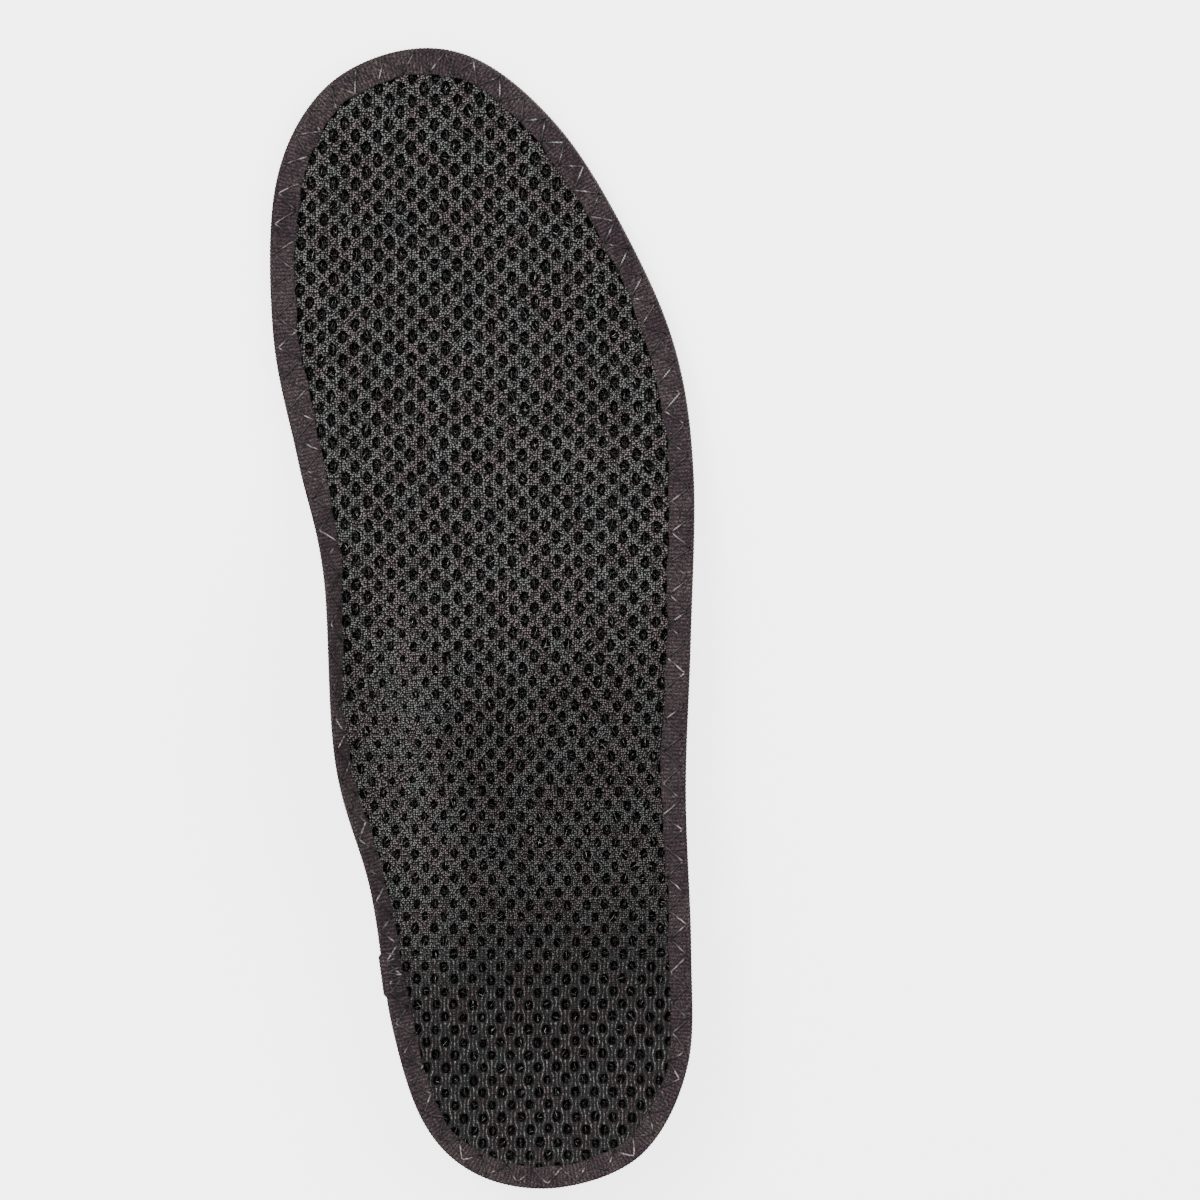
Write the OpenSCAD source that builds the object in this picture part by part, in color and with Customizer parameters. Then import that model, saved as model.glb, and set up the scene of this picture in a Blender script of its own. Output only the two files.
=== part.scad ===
/* [Outline] */
// Length from the heel end to the toe end
insole_len = 248; // [220:1:290]
// Widest part of the forefoot
forefoot_w = 88; // [78:1:102]

/* [Thickness] */
// Laminate of mesh, foam and base sheet, away from the edge
laminate_t = 5; // [4:0.1:6.5]
// Share of the laminate that is mesh cover
mesh_share = 0.44; // [0.35:0.01:0.5]
// Share of the laminate that is cushion foam
foam_share = 0.24; // [0.18:0.01:0.3]
// Laminate at the very edge, where the binding squeezes it, as a share of its full thickness
edge_squeeze = 0.62; // [0.55:0.01:0.8]
// Top of the mesh above the floor at the middle of the heel
heel_top = 9.5; // [9:0.1:12]

/* [Rim heights] */
// Heel cup rim above the floor
heel_rim = 18.5; // [14:0.5:22]
// Inner arch flange above the floor
arch_rim = 27; // [20:0.5:30]
// Forefoot edge above the floor
toe_rim = 4.9; // [4.7:0.1:5.5]

/* [Binding] */
// Tape width on the top side
band_top_w = 5.6; // [5:0.1:6.5]
// Tape width on the underside
band_under_w = 6.6; // [6:0.1:7]
// Tape thickness
tape_t = 0.6; // [0.5:0.05:0.8]
// Length of one full zigzag of the stitching
zigzag_pitch = 6.8; // [5.5:0.1:8]
// Thickness of the sewing thread
thread_d = 0.4; // [0.3:0.05:0.5]

/* [Support base] */
// How far the flat underside starts inside the wall, as a share of the wall's height
wall_slope = 0.7; // [0.5:0.05:0.8]
// Diameter of the heel plug
plug_d = 27; // [22:0.5:30]
// Thickness of the heel plug
plug_t = 3.4; // [3:0.1:3.6]
// Depth of the index panel's recess
panel_depth = 0.5; // [0.3:0.1:0.8]

/* [Flex line] */
// Distance of the flex line from the heel end, as a share of the length
flex_share = 0.675; // [0.66:0.005:0.72]
// Gap between the rear and front halves at the flex line
flex_gap = 0.3; // [0.2:0.05:0.5]

/* [Hidden] */

// The insole of a right foot: +Y to the toes, +X to the outer side. Shapes are set out with the heel end at
// y = 0 for a length of 248 and a width of 88, then scaled to the driving sizes.
scale_x = forefoot_w / 88;
scale_y = insole_len / 248;
centre_shift = [-0.9 * scale_x, -insole_len / 2];

flex_y = flex_share * insole_len;
// The boxes that part the halves, well clear of the insole all round
flex_x_half = 60;
flex_margin = 10;
flex_h = 60;

heel_centre_y = 35 * scale_y;
toe_centre_y = 212 * scale_y;

// Control points of the outline, from the heel end up the inner side to the toes and back
outline_ctrl = [
    [0, 0], [-17, 4], [-28, 16], [-33, 38], [-34.5, 68], [-39, 96], [-37.4, 136], [-40.5, 162],
    [-43, 190], [-39, 222], [-27, 241], [-9, 248], [8, 244], [24, 227], [36, 202], [43.5, 177],
    [44.5, 150], [40, 114], [35.5, 82], [33, 48], [29.5, 23], [18, 5.5]
];

// Control points of the support base's outline, with the blunt tongue behind the toes' joints
support_ctrl = [
    [0, 8.5], [-12, 11], [-21, 20.5], [-25, 38], [-26.5, 66], [-30.5, 96], [-29.5, 128], [-27, 147],
    [-16, 156], [-4, 158.5], [7.5, 155.5], [15.5, 147], [23, 136.5], [29.5, 129], [28.5, 117.5],
    [26.5, 100], [25, 80], [26, 56], [24, 35], [17.5, 17.5]
];

// Rim height at distances from the heel end, on the inner and the outer side
inner_rim = [
    [-10, heel_rim], [20, heel_rim], [45, heel_rim - 0.5], [68, heel_rim + 3], [92, arch_rim - 2],
    [112, arch_rim], [130, arch_rim - 5], [148, 12.5], [167, 6.8], [190, toe_rim + 0.6], [215, toe_rim],
    [260, toe_rim]
];
outer_rim = [
    [-10, heel_rim], [20, heel_rim], [45, heel_rim - 1.5], [75, 14.5], [105, 12.5], [130, 10.5],
    [150, 7.8], [168, 6], [190, toe_rim], [260, toe_rim]
];

// Height of the mesh along the middle of the foot
crown_line = [
    [-10, heel_top], [40, heel_top], [75, heel_top + 0.4], [105, heel_top], [135, 8], [160, 6.3],
    [180, laminate_t + 0.2], [200, laminate_t], [260, laminate_t]
];

// How far in from the edge the rim's rise reaches
reach_line = [[-10, 24], [40, 24], [70, 22], [110, 22], [150, 19], [185, 14], [260, 14]];

// ---- curves ----

// Point at share t between p1 and p2 of a smooth curve through four points
function spline(p0, p1, p2, p3, t) =
    0.5 * (2 * p1 + (p2 - p0) * t + (2 * p0 - 5 * p1 + 4 * p2 - p3) * t * t
    + (3 * p1 - p0 - 3 * p2 + p3) * t * t * t);

// Closed smooth curve through all control points, with steps points to each of them
function closed_curve(ctrl, steps) =
    let (n = len(ctrl))
    [for (i = [0 : n - 1], k = [0 : steps - 1])
        spline(ctrl[(i + n - 1) % n], ctrl[i], ctrl[(i + 1) % n], ctrl[(i + 2) % n], k / steps)];

// Slope of a table's smooth curve at its entry i
function slope(table, i) =
    i == 0 || i == len(table) - 1 ? 0
    : (table[i + 1][1] - table[i - 1][1]) / (table[i + 1][0] - table[i - 1][0]);

// Smooth value at x of a table of [x, value]
function smooth(x, table, i = 0) =
    i < len(table) - 2 && x > table[i + 1][0] ? smooth(x, table, i + 1)
    : let (
        w = table[i + 1][0] - table[i][0],
        t = min(1, max(0, (x - table[i][0]) / w)),
        a = table[i][1],
        b = table[i + 1][1]
    )
    a + (b - a) * t * t * (3 - 2 * t)
    + w * t * (1 - t) * (slope(table, i) * (1 - t) - slope(table, i + 1) * t);

function to_size(points) = [for (p = points) [p.x * scale_x, p.y * scale_y]];

// Running length along a closed list of points
function lengths(points) =
    let (n = len(points))
    [for (i = 0, s = 0; i <= n; s = s + norm(points[(i + 1) % n] - points[i % n]), i = i + 1) s];

OUTLINE_STEPS = 8;
TOE_CTRL = 11;
outline = to_size(closed_curve(outline_ctrl, OUTLINE_STEPS));
outline_s = lengths(outline);
perimeter = outline_s[len(outline)];
table_x = [for (i = [0 : len(outline)]) [outline_s[i], outline[i % len(outline)].x]];
table_y = [for (i = [0 : len(outline)]) [outline_s[i], outline[i % len(outline)].y]];
toe_s = outline_s[TOE_CTRL * OUTLINE_STEPS];

function wrapped(s) = s - perimeter * floor(s / perimeter);
function edge(s) = [lookup(wrapped(s), table_x), lookup(wrapped(s), table_y)];

// Unit vector square to the edge, into the insole
tangent_step = 1.5;
function inward(s) =
    let (d = edge(s + tangent_step) - edge(s - tangent_step))
    [d.y, -d.x] / norm(d);

// ---- heights ----

function rim(s) =
    let (y = edge(s).y / scale_y)
    wrapped(s) < toe_s ? smooth(y, inner_rim) : smooth(y, outer_rim);

function reach(s) = smooth(edge(s).y / scale_y, reach_line);

function crown(y) = smooth(y / scale_y, crown_line);

// Top of the insole at distance d in from the edge at s, at the foot position y
function top_z(s, d, y) =
    let (rise = max(0, 1 - d / reach(s)))
    crown(y) + (rim(s) - crown(y)) * rise * rise;

// The binding's squeeze ends this far in from the edge
squeeze_w = 12;

// Share of the full laminate thickness at distance d in from the edge
function squeeze(d) = edge_squeeze + (1 - edge_squeeze) * min(1, d / squeeze_w);

// Underside of the laminate, binding included
function under_z(s, d, y) = top_z(s, d, y) - laminate_t * squeeze(d);

// The laminate makes room for the tape, and is back at its full height a little inside the tape's hems
tape_clearance = 0.25;
room_w = 7;
room_end = 8.5;

function tape_room(d) = (tape_t + tape_clearance) * min(1, max(0, (room_end - d) / (room_end - room_w)));

// Height at share k of the laminate, from its top at 0 to its underside at 1
function layer_z(s, d, y, k) =
    let (
        high = top_z(s, d, y) - tape_room(d),
        low = under_z(s, d, y) + tape_room(d)
    )
    high + (low - high) * k;

// ---- solids from loops of points ----

// Faces of a closed skin over loops of n points each, wound clockwise seen from above, from the innermost
// loop on top out over the edge to the innermost loop underneath. Both sides split their quads along the
// same diagonal, so that layers which share a surface meet face to face.
function skin_faces(loops, n) =
    let (last = (loops - 1) * n, half = n / 2)
    concat(
        [for (k = [0 : loops - 2], j = [0 : n - 1])
            each let (a = k * n + j, b = k * n + (j + 1) % n)
            k < loops / 2 ? [[a + n, b + n, b], [a + n, b, a]]
            : [[a, a + n, b + n], [a, b + n, b]]],
        [for (j = [1 : half - 2])
            each [[j, j + 1, n - j - 1], [j, n - j - 1, n - j]]],
        [[0, 1, n - 1], [half - 1, half, half + 1]],
        [for (j = [1 : half - 2])
            each [[last + n - j - 1, last + j + 1, last + j], [last + n - j, last + n - j - 1, last + j]]],
        [[last + n - 1, last + 1, last], [last + half + 1, last + half, last + half - 1]]
    );

module skin(loops) {
    n = len(loops[0]);
    polyhedron(points = [for (l = loops) each l], faces = skin_faces(len(loops), n));
}

// Closed ring swept through sections of m points each
module swept_ring(sections) {
    n = len(sections);
    m = len(sections[0]);
    faces = [for (i = [0 : n - 1], k = [0 : m - 1])
        each let (
            a = i * m + k,
            b = i * m + (k + 1) % m,
            c = ((i + 1) % n) * m + k,
            d = ((i + 1) % n) * m + (k + 1) % m
        )
        [[a, c, d], [a, d, b]]];
    polyhedron(points = [for (s = sections) each s], faces = faces);
}

// ---- laminate layers ----

STATIONS = 72;
layer_edge = 1;
edge_insets = [layer_edge, 3, room_w, room_end, 14, 19];

// Places along the edge, evenly up the inner side and evenly down the outer side
stations = [for (i = [0 : STATIONS - 1])
    i < STATIONS / 2 ? toe_s * 2 * i / STATIONS
    : toe_s + (perimeter - toe_s) * (2 * i / STATIONS - 1)];

function spine(y) = [-1.5 * scale_x, min(toe_centre_y, max(heel_centre_y, y))];

// Loop of points at inset d and share k of the laminate
function inset_loop(d, k) =
    [for (s = stations)
        let (p = edge(s) + d * inward(s))
        [p.x, p.y, layer_z(s, d, p.y, k)]];

// Loop half way between the last inset and the middle line
function inner_loop(k) =
    let (d = edge_insets[len(edge_insets) - 1])
    [for (s = stations)
        let (
            p = edge(s) + d * inward(s),
            q = spine(p.y),
            r = (p + q) / 2
        )
        [r.x, r.y, layer_z(s, d + norm(q - p) / 2, r.y, k)]];

// Layer of the laminate between the shares k_top and k_low of its thickness
module layer(k_top, k_low) {
    skin(concat(
        [inner_loop(k_top)],
        [for (i = [len(edge_insets) - 1 : -1 : 0]) inset_loop(edge_insets[i], k_top)],
        [for (d = edge_insets) inset_loop(d, k_low)],
        [inner_loop(k_low)]
    ));
}

module placed() {
    translate([centre_shift.x, centre_shift.y, 0]) children();
}

// Everything behind the flex line, or everything in front of it
module rear_half() {
    intersection() {
        children();
        translate([-flex_x_half, -flex_margin, -flex_margin])
            cube([2 * flex_x_half, flex_y - flex_gap / 2 + flex_margin, flex_h]);
    }
}

module front_half() {
    intersection() {
        children();
        translate([-flex_x_half, flex_y + flex_gap / 2, -flex_margin])
            cube([2 * flex_x_half, insole_len, flex_h]);
    }
}

module mesh_layer() {
    layer(0, mesh_share);
}

module foam_layer() {
    layer(mesh_share, mesh_share + foam_share);
}

module sheet_layer() {
    layer(mesh_share + foam_share, 1);
}

module mesh_cover_rear() {
    color([0.09, 0.09, 0.09]) placed() rear_half() mesh_layer();
}

module mesh_cover_front() {
    color([0.09, 0.09, 0.09]) placed() front_half() mesh_layer();
}

module cushion_foam_rear() {
    color([0.2, 0.2, 0.21]) placed() rear_half() foam_layer();
}

module cushion_foam_front() {
    color([0.2, 0.2, 0.21]) placed() front_half() foam_layer();
}

module base_sheet_rear() {
    color([0.3, 0.31, 0.33]) placed() rear_half() sheet_layer();
}

module base_sheet_front() {
    color([0.3, 0.31, 0.33]) placed() front_half() sheet_layer();
}

// ---- binding ----

// Share of its width in plan that the tape's top keeps, because its width is measured up the edge's slope
function hem_share(s) =
    let (rise = 2 * (rim(s) - crown(edge(s).y)) / reach(s))
    1 / sqrt(1 + rise * rise);

// Point of the tape at inset d: share 0 of the laminate is its top face, share 1 its underside
function tape_point(s, d, k, lift) =
    let (p = edge(s) + d * inward(s), high = top_z(s, d, p.y), low = under_z(s, d, p.y))
    [p.x, p.y, high + (low - high) * k + lift];

// Insets at which the tape turns round the edge, on its outer face and on its inner one
fold_d = 1;
nose_d = 0.2;
inner_fold_d = 0.7;
under_mid_d = 3.6;

// Outer face of the folded tape, from its top hem round the edge to its lower hem, then its inner face back
function tape_section(s) =
    let (hem = band_top_w * hem_share(s), mid = fold_d + (hem - fold_d) / 2)
    [
        tape_point(s, hem, 0, 0),
        tape_point(s, mid, 0, 0),
        tape_point(s, fold_d, 0.03, 0),
        tape_point(s, nose_d, 0.2, 0),
        tape_point(s, 0, 0.5, 0),
        tape_point(s, nose_d, 0.8, 0),
        tape_point(s, fold_d, 0.97, 0),
        tape_point(s, under_mid_d, 1, 0),
        tape_point(s, band_under_w, 1, 0),
        tape_point(s, band_under_w, 1, tape_t),
        tape_point(s, under_mid_d, 1, tape_t),
        tape_point(s, inner_fold_d, 0.75, 0),
        tape_point(s, inner_fold_d, 0.25, 0),
        tape_point(s, mid, 0, -tape_t),
        tape_point(s, hem, 0, -tape_t)
    ];

module binding() {
    swept_ring([for (s = stations) tape_section(s)]);
}

module edge_binding_rear() {
    color([0.2, 0.17, 0.17]) placed() rear_half() binding();
}

module edge_binding_front() {
    color([0.2, 0.17, 0.17]) placed() front_half() binding();
}

// Short second layer of tape on the inner side of the heel, over the binding
tape_end_y = 45;
tape_end_len = 9;
tape_lap_t = 0.5;
lap_gap = 0.2;
lap_hem_in = 0.2;
LAP_CTRLS = 8;
table_s = [for (i = [0 : LAP_CTRLS * OUTLINE_STEPS]) [outline[i].y, outline_s[i]]];
lap_start = lookup(tape_end_y * scale_y, table_s);

function lap_section(s) =
    let (
        hem = band_top_w * hem_share(s) - lap_hem_in,
        mid = fold_d + (hem - fold_d) / 2,
        out = lap_gap + tape_lap_t
    )
    [
        tape_point(s, hem, 0, out),
        tape_point(s, mid, 0, out),
        tape_point(s, fold_d, 0.03, out),
        tape_point(s, nose_d - out, 0.2, lap_gap),
        tape_point(s, -out, 0.5, 0),
        tape_point(s, -lap_gap, 0.5, 0),
        tape_point(s, nose_d - lap_gap, 0.2, lap_gap / 2),
        tape_point(s, fold_d, 0.03, lap_gap),
        tape_point(s, mid, 0, lap_gap),
        tape_point(s, hem, 0, lap_gap)
    ];

module binding_tape_end() {
    steps = 6;
    sections = [for (i = [0 : steps]) lap_section(lap_start + tape_end_len * i / steps)];
    m = len(sections[0]);
    faces = concat(
        [for (i = [0 : steps - 1], k = [0 : m - 1])
            each let (
                a = i * m + k,
                b = i * m + (k + 1) % m
            )
            [[a, a + m, b + m], [a, b + m, b]]],
        [[for (k = [0 : m - 1]) k]],
        [[for (k = [m - 1 : -1 : 0]) steps * m + k]]
    );
    color([0.22, 0.19, 0.19]) placed()
        polyhedron(points = [for (s = sections) each s], faces = faces);
}

// ---- stitching ----

zigzags = round(perimeter / zigzag_pitch);

// How far the needle thread is lifted where it crosses the tape's end, from a little before it
function lap_lift(s) =
    s > lap_start - zigzag_pitch / 2 && s < lap_start + tape_end_len + zigzag_pitch / 2
    ? lap_gap + tape_lap_t : 0;

// Insets of the zigzag's corners, from the tape's hem and from the edge
stitch_hem_in = 0.4;
stitch_edge_in = 1.2;

// Corner i of the zigzag on the tape's top at k = 0 or its underside at k = 1, by turns at its hem and its edge
function stitch_corner(i, k, lift) =
    let (
        s = perimeter * i / (2 * zigzags),
        hem = band_top_w * (k == 0 ? hem_share(s) : 1) - stitch_hem_in,
        d = i % 2 == 0 ? hem : stitch_edge_in
    )
    tape_point(s, d, k, lift + (k == 0 ? lap_lift(s) : 0));

// Share by which a corner's section is longer than the thread is thick, because the strokes meet it aslant
mitre = 1.6;

// Square thread section at a corner, in the plane that its two strokes share
function stitch_section(i, k, lift) =
    let (
        p = stitch_corner(i, k, lift),
        n = inward(perimeter * i / (2 * zigzags)),
        across = [n.x, n.y, 0] * mitre * thread_d / 2,
        up = [0, 0, thread_d / 2]
    )
    [p + up, p - across, p - up, p + across];

module stitches(k, lift) {
    swept_ring([for (i = [0 : 2 * zigzags - 1]) stitch_section(i, k, lift)]);
}

// Height of the threads' middle off the tape, more underneath, where the strokes span a hollow curve
needle_gap = 0.27;
bobbin_gap = 0.5;
needle_lift = thread_d / 2 + needle_gap;
bobbin_lift = -thread_d / 2 - bobbin_gap;

module needle_thread_rear() {
    color([0.35, 0.33, 0.32]) placed() rear_half() stitches(0, needle_lift);
}

module needle_thread_front() {
    color([0.35, 0.33, 0.32]) placed() front_half() stitches(0, needle_lift);
}

module bobbin_thread_rear() {
    color([0.35, 0.33, 0.32]) placed() rear_half() stitches(1, bobbin_lift);
}

module bobbin_thread_front() {
    color([0.35, 0.33, 0.32]) placed() front_half() stitches(1, bobbin_lift);
}

// ---- support base ----

SUPPORT_STEPS = 4;
support_outline = to_size(closed_curve(support_ctrl, SUPPORT_STEPS));

// Height of the laminate's underside over any point, from the nearest place on the edge
function laminate_under(p) =
    let (
        far = [for (q = outline) norm(p - q)],
        d = min(far),
        s = outline_s[search(d, far)[0]]
    )
    layer_z(s, d, p.y, 1);

function support_inward(i) =
    let (
        n = len(support_outline),
        d = support_outline[(i + 1) % n] - support_outline[(i + n - 1) % n]
    )
    [d.y, -d.x] / norm(d);

support_gap = 0.35;

// Insets of the loops on its top, and shares of the way in of the loops down its wall
support_insets = [13, 6, 2.5, 0];
wall_shares = [0.12, 0.4, 0.72];

// Loop inside the support base's outline, under the laminate
function support_top_loop(d) =
    [for (i = [0 : len(support_outline) - 1])
        let (p = support_outline[i] + d * support_inward(i))
        [p.x, p.y, laminate_under(p) - support_gap]];

support_front_y = 138;
function support_spine(y) = [-1 * scale_x, min(support_front_y * scale_y, max(heel_centre_y, y))];

function support_inner_loop() =
    [for (i = [0 : len(support_outline) - 1])
        let (
            p = support_outline[i] + support_insets[0] * support_inward(i),
            q = (p + support_spine(p.y)) / 2
        )
        [q.x, q.y, laminate_under(q) - support_gap]];

// Loop on the outer wall at share t of its way in, which falls as a quarter of an ellipse to the flat sole
function support_wall_loop(t) =
    [for (i = [0 : len(support_outline) - 1])
        let (
            p = support_outline[i],
            h = laminate_under(p) - support_gap,
            q = p + t * wall_slope * h * support_inward(i)
        )
        [q.x, q.y, h * (1 - sqrt(1 - (1 - t) * (1 - t)))]];

module support_body() {
    sole = support_wall_loop(1);
    skin([
        support_inner_loop(),
        each [for (d = support_insets) support_top_loop(d)],
        each [for (t = wall_shares) support_wall_loop(t)],
        sole,
        [for (p = sole) (p + [support_spine(p.y).x, support_spine(p.y).y, 0]) / 2]
    ]);
}

// Room round and over the plug in its seat, and how far cutters reach past a face
plug_seat_gap = 0.15;
plug_seat_over = 0.2;
cut_over = 1;
plug_centre = [0, heel_centre_y];
panel_size = [11, 19.5];
panel_round = 2;
panel_centre = [-5 * scale_x, 139 * scale_y];
panel_turn = -3;

module rounded_prism(size, r, h) {
    linear_extrude(h) {
        square([size.x - 2 * r, size.y], center = true);
        square([size.x, size.y - 2 * r], center = true);
        for (x = [-1, 1], y = [-1, 1])
            translate([x * (size.x / 2 - r), y * (size.y / 2 - r)]) circle(r, $fn = 32);
    }
}

// Plain raised bars in the panel's recess
bar_size = [5.4, 2.2, 0.3];
bar_pitch = 4.8;
bar_root = 0.2;

module index_bars() {
    for (i = [-1 : 1])
        translate([-bar_size.x / 2, i * bar_pitch - bar_size.y / 2, panel_depth - bar_size.z])
            cube([bar_size.x, bar_size.y, bar_size.z + bar_root]);
}

module support_base() {
    color([0.17, 0.175, 0.2]) placed() {
        difference() {
            support_body();
            translate([plug_centre.x, plug_centre.y, -cut_over])
                cylinder(h = plug_t + plug_seat_over + cut_over, d = plug_d + 2 * plug_seat_gap, $fn = 96);
            translate([panel_centre.x, panel_centre.y, -cut_over]) rotate(panel_turn)
                rounded_prism(panel_size, panel_round, panel_depth + cut_over);
        }
        translate([panel_centre.x, panel_centre.y, 0]) rotate(panel_turn) index_bars();
    }
}

// ---- heel plug ----

plug_rim_w = 1.3;
plug_dish = 0.7;
plug_lift = 0.1;

// Long notch in the dish's floor, beside the rim
notch_r = 1;
notch_half = 1;
notch_turn = 27;
notch_at = 11;
notch_depth = plug_dish + 0.8;

module heel_plug() {
    color([0.88, 0.88, 0.87]) placed()
        translate([plug_centre.x, plug_centre.y, plug_lift]) {
            difference() {
                cylinder(h = plug_t - plug_lift, d = plug_d, $fn = 96);
                translate([0, 0, -cut_over])
                    cylinder(h = plug_dish + cut_over, d = plug_d - 2 * plug_rim_w, $fn = 96);
                rotate(notch_turn) translate([notch_at, 0, 0]) {
                    for (y = [-1, 1])
                        translate([0, y * notch_half, 0]) cylinder(h = notch_depth, r = notch_r, $fn = 24);
                    translate([-notch_r, -notch_half, 0])
                        cube([2 * notch_r, 2 * notch_half, notch_depth]);
                }
            }
        }
}

mesh_cover_rear();
mesh_cover_front();
cushion_foam_rear();
cushion_foam_front();
base_sheet_rear();
base_sheet_front();
edge_binding_rear();
edge_binding_front();
binding_tape_end();
needle_thread_rear();
needle_thread_front();
bobbin_thread_rear();
bobbin_thread_front();
support_base();
heel_plug();
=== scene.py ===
"""The cushioned insole's looks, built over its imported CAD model.

Shapes are set out in millimetres in the foot's own frame, as in the CAD model: the heel end at y = 0,
the toes along +Y, the outer side of the right foot along +X and the floor at z = 0. to_row() turns them
into the row frame.
"""
import math

import bmesh
import bpy
import numpy as np
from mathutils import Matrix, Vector


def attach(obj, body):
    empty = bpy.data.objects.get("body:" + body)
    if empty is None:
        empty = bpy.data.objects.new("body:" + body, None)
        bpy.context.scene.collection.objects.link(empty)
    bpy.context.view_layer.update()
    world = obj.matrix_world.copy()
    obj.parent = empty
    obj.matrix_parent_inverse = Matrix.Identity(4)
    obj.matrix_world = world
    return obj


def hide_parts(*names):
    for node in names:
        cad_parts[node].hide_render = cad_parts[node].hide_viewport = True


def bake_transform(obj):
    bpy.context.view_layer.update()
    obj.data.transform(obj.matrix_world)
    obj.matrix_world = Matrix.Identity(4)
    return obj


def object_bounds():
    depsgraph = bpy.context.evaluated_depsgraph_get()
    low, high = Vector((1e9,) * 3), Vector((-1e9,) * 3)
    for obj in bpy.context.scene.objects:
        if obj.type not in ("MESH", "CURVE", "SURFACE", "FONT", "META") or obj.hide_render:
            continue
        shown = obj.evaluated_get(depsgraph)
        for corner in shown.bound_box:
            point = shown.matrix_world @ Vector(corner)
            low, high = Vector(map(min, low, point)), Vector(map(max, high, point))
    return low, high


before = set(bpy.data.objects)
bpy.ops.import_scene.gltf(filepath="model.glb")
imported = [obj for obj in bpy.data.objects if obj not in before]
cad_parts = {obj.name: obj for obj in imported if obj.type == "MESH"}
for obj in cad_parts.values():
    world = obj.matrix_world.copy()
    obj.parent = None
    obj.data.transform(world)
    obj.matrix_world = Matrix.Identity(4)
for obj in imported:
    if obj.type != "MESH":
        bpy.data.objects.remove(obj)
cad_low, cad_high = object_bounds()

MM = 0.001
REAR, FRONT = "heel_section", "toe_section"

# ---- the insole's shape, as in the CAD model, in millimetres ----

OUTLINE_CTRL = [
    (0, 0), (-17, 4), (-28, 16), (-33, 38), (-34.5, 68), (-39, 96), (-37.4, 136), (-40.5, 162),
    (-43, 190), (-39, 222), (-27, 241), (-9, 248), (8, 244), (24, 227), (36, 202), (43.5, 177),
    (44.5, 150), (40, 114), (35.5, 82), (33, 48), (29.5, 23), (18, 5.5),
]
SUPPORT_CTRL = [
    (0, 8.5), (-12, 11), (-21, 20.5), (-25, 38), (-26.5, 66), (-30.5, 96), (-29.5, 128), (-27, 147),
    (-16, 156), (-4, 158.5), (7.5, 155.5), (15.5, 147), (23, 136.5), (29.5, 129), (28.5, 117.5),
    (26.5, 100), (25, 80), (26, 56), (24, 35), (17.5, 17.5),
]
HEEL_TOP, HEEL_RIM, ARCH_RIM, TOE_RIM = 9.5, 18.5, 27, 4.9
LAMINATE_T = 5
MESH_SHARE, FOAM_SHARE = 0.44, 0.24
EDGE_SQUEEZE, SQUEEZE_W = 0.62, 12
INNER_RIM = [
    (-10, HEEL_RIM), (20, HEEL_RIM), (45, HEEL_RIM - 0.5), (68, HEEL_RIM + 3), (92, ARCH_RIM - 2),
    (112, ARCH_RIM), (130, ARCH_RIM - 5), (148, 12.5), (167, 6.8), (190, TOE_RIM + 0.6), (215, TOE_RIM),
    (260, TOE_RIM),
]
OUTER_RIM = [
    (-10, HEEL_RIM), (20, HEEL_RIM), (45, HEEL_RIM - 1.5), (75, 14.5), (105, 12.5), (130, 10.5),
    (150, 7.8), (168, 6), (190, TOE_RIM), (260, TOE_RIM),
]
CROWN_LINE = [
    (-10, HEEL_TOP), (40, HEEL_TOP), (75, HEEL_TOP + 0.4), (105, HEEL_TOP), (135, 8), (160, 6.3),
    (180, LAMINATE_T + 0.2), (200, LAMINATE_T), (260, LAMINATE_T),
]
REACH_LINE = [(-10, 24), (40, 24), (70, 22), (110, 22), (150, 19), (185, 14), (260, 14)]
HEEL_CENTRE_Y, TOE_CENTRE_Y = 35, 212
CENTRE_X = 0.9
BAND_TOP_W, BAND_UNDER_W, TAPE_T = 5.6, 6.6, 0.6
ZIGZAG_PITCH = 6.8
TAPE_END_Y, TAPE_END_LEN = 45, 9


def to_row(points):
    """Millimetres in the foot's frame to metres in the row frame."""
    shift = np.array([-CENTRE_X * MM, cad_low.y, 0])
    return np.asarray(points, float) * MM + shift


def closed_curve(ctrl, steps):
    """Smooth closed curve through all control points, with steps points to each."""
    p1 = np.array(ctrl, float)[:, None]
    p0, p2, p3 = (np.roll(p1, k, axis=0) for k in (1, -1, -2))
    t = (np.arange(steps) / steps)[None, :, None]
    curve = 0.5 * (2 * p1 + (p2 - p0) * t + (2 * p0 - 5 * p1 + 4 * p2 - p3) * t ** 2
                   + (3 * p1 - p0 - 3 * p2 + p3) * t ** 3)
    return curve.reshape(-1, 2)


def evenly(points, count):
    """A closed list of points respaced evenly, with its total length."""
    looped = np.vstack([points, points[:1]])
    along = np.concatenate([[0], np.cumsum(np.linalg.norm(np.diff(looped, axis=0), axis=1))])
    at = np.arange(count) * along[-1] / count
    return np.stack([np.interp(at, along, looped[:, k]) for k in (0, 1)], axis=1), along[-1]


def square_in(points):
    """Unit vectors square to a closed clockwise line, pointing inside."""
    run = np.roll(points, -2, axis=0) - np.roll(points, 2, axis=0)
    normal = np.stack([run[:, 1], -run[:, 0]], axis=1)
    return normal / np.linalg.norm(normal, axis=1)[:, None]


def smooth(x, table):
    """Value at x of the smooth curve through a table of (x, value) pairs, level at both ends."""
    px, pv = np.array(table, float).T
    slope = np.zeros(len(px))
    slope[1:-1] = (pv[2:] - pv[:-2]) / (px[2:] - px[:-2])
    i = np.clip(np.searchsorted(px, x) - 1, 0, len(px) - 2)
    width = px[i + 1] - px[i]
    t = np.clip((x - px[i]) / width, 0, 1)
    return (pv[i] + (pv[i + 1] - pv[i]) * t * t * (3 - 2 * t)
            + width * t * (1 - t) * (slope[i] * (1 - t) - slope[i + 1] * t))


def smoothstep(x, low, high):
    t = np.clip((x - low) / (high - low), 0, 1)
    return t * t * (3 - 2 * t)


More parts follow.
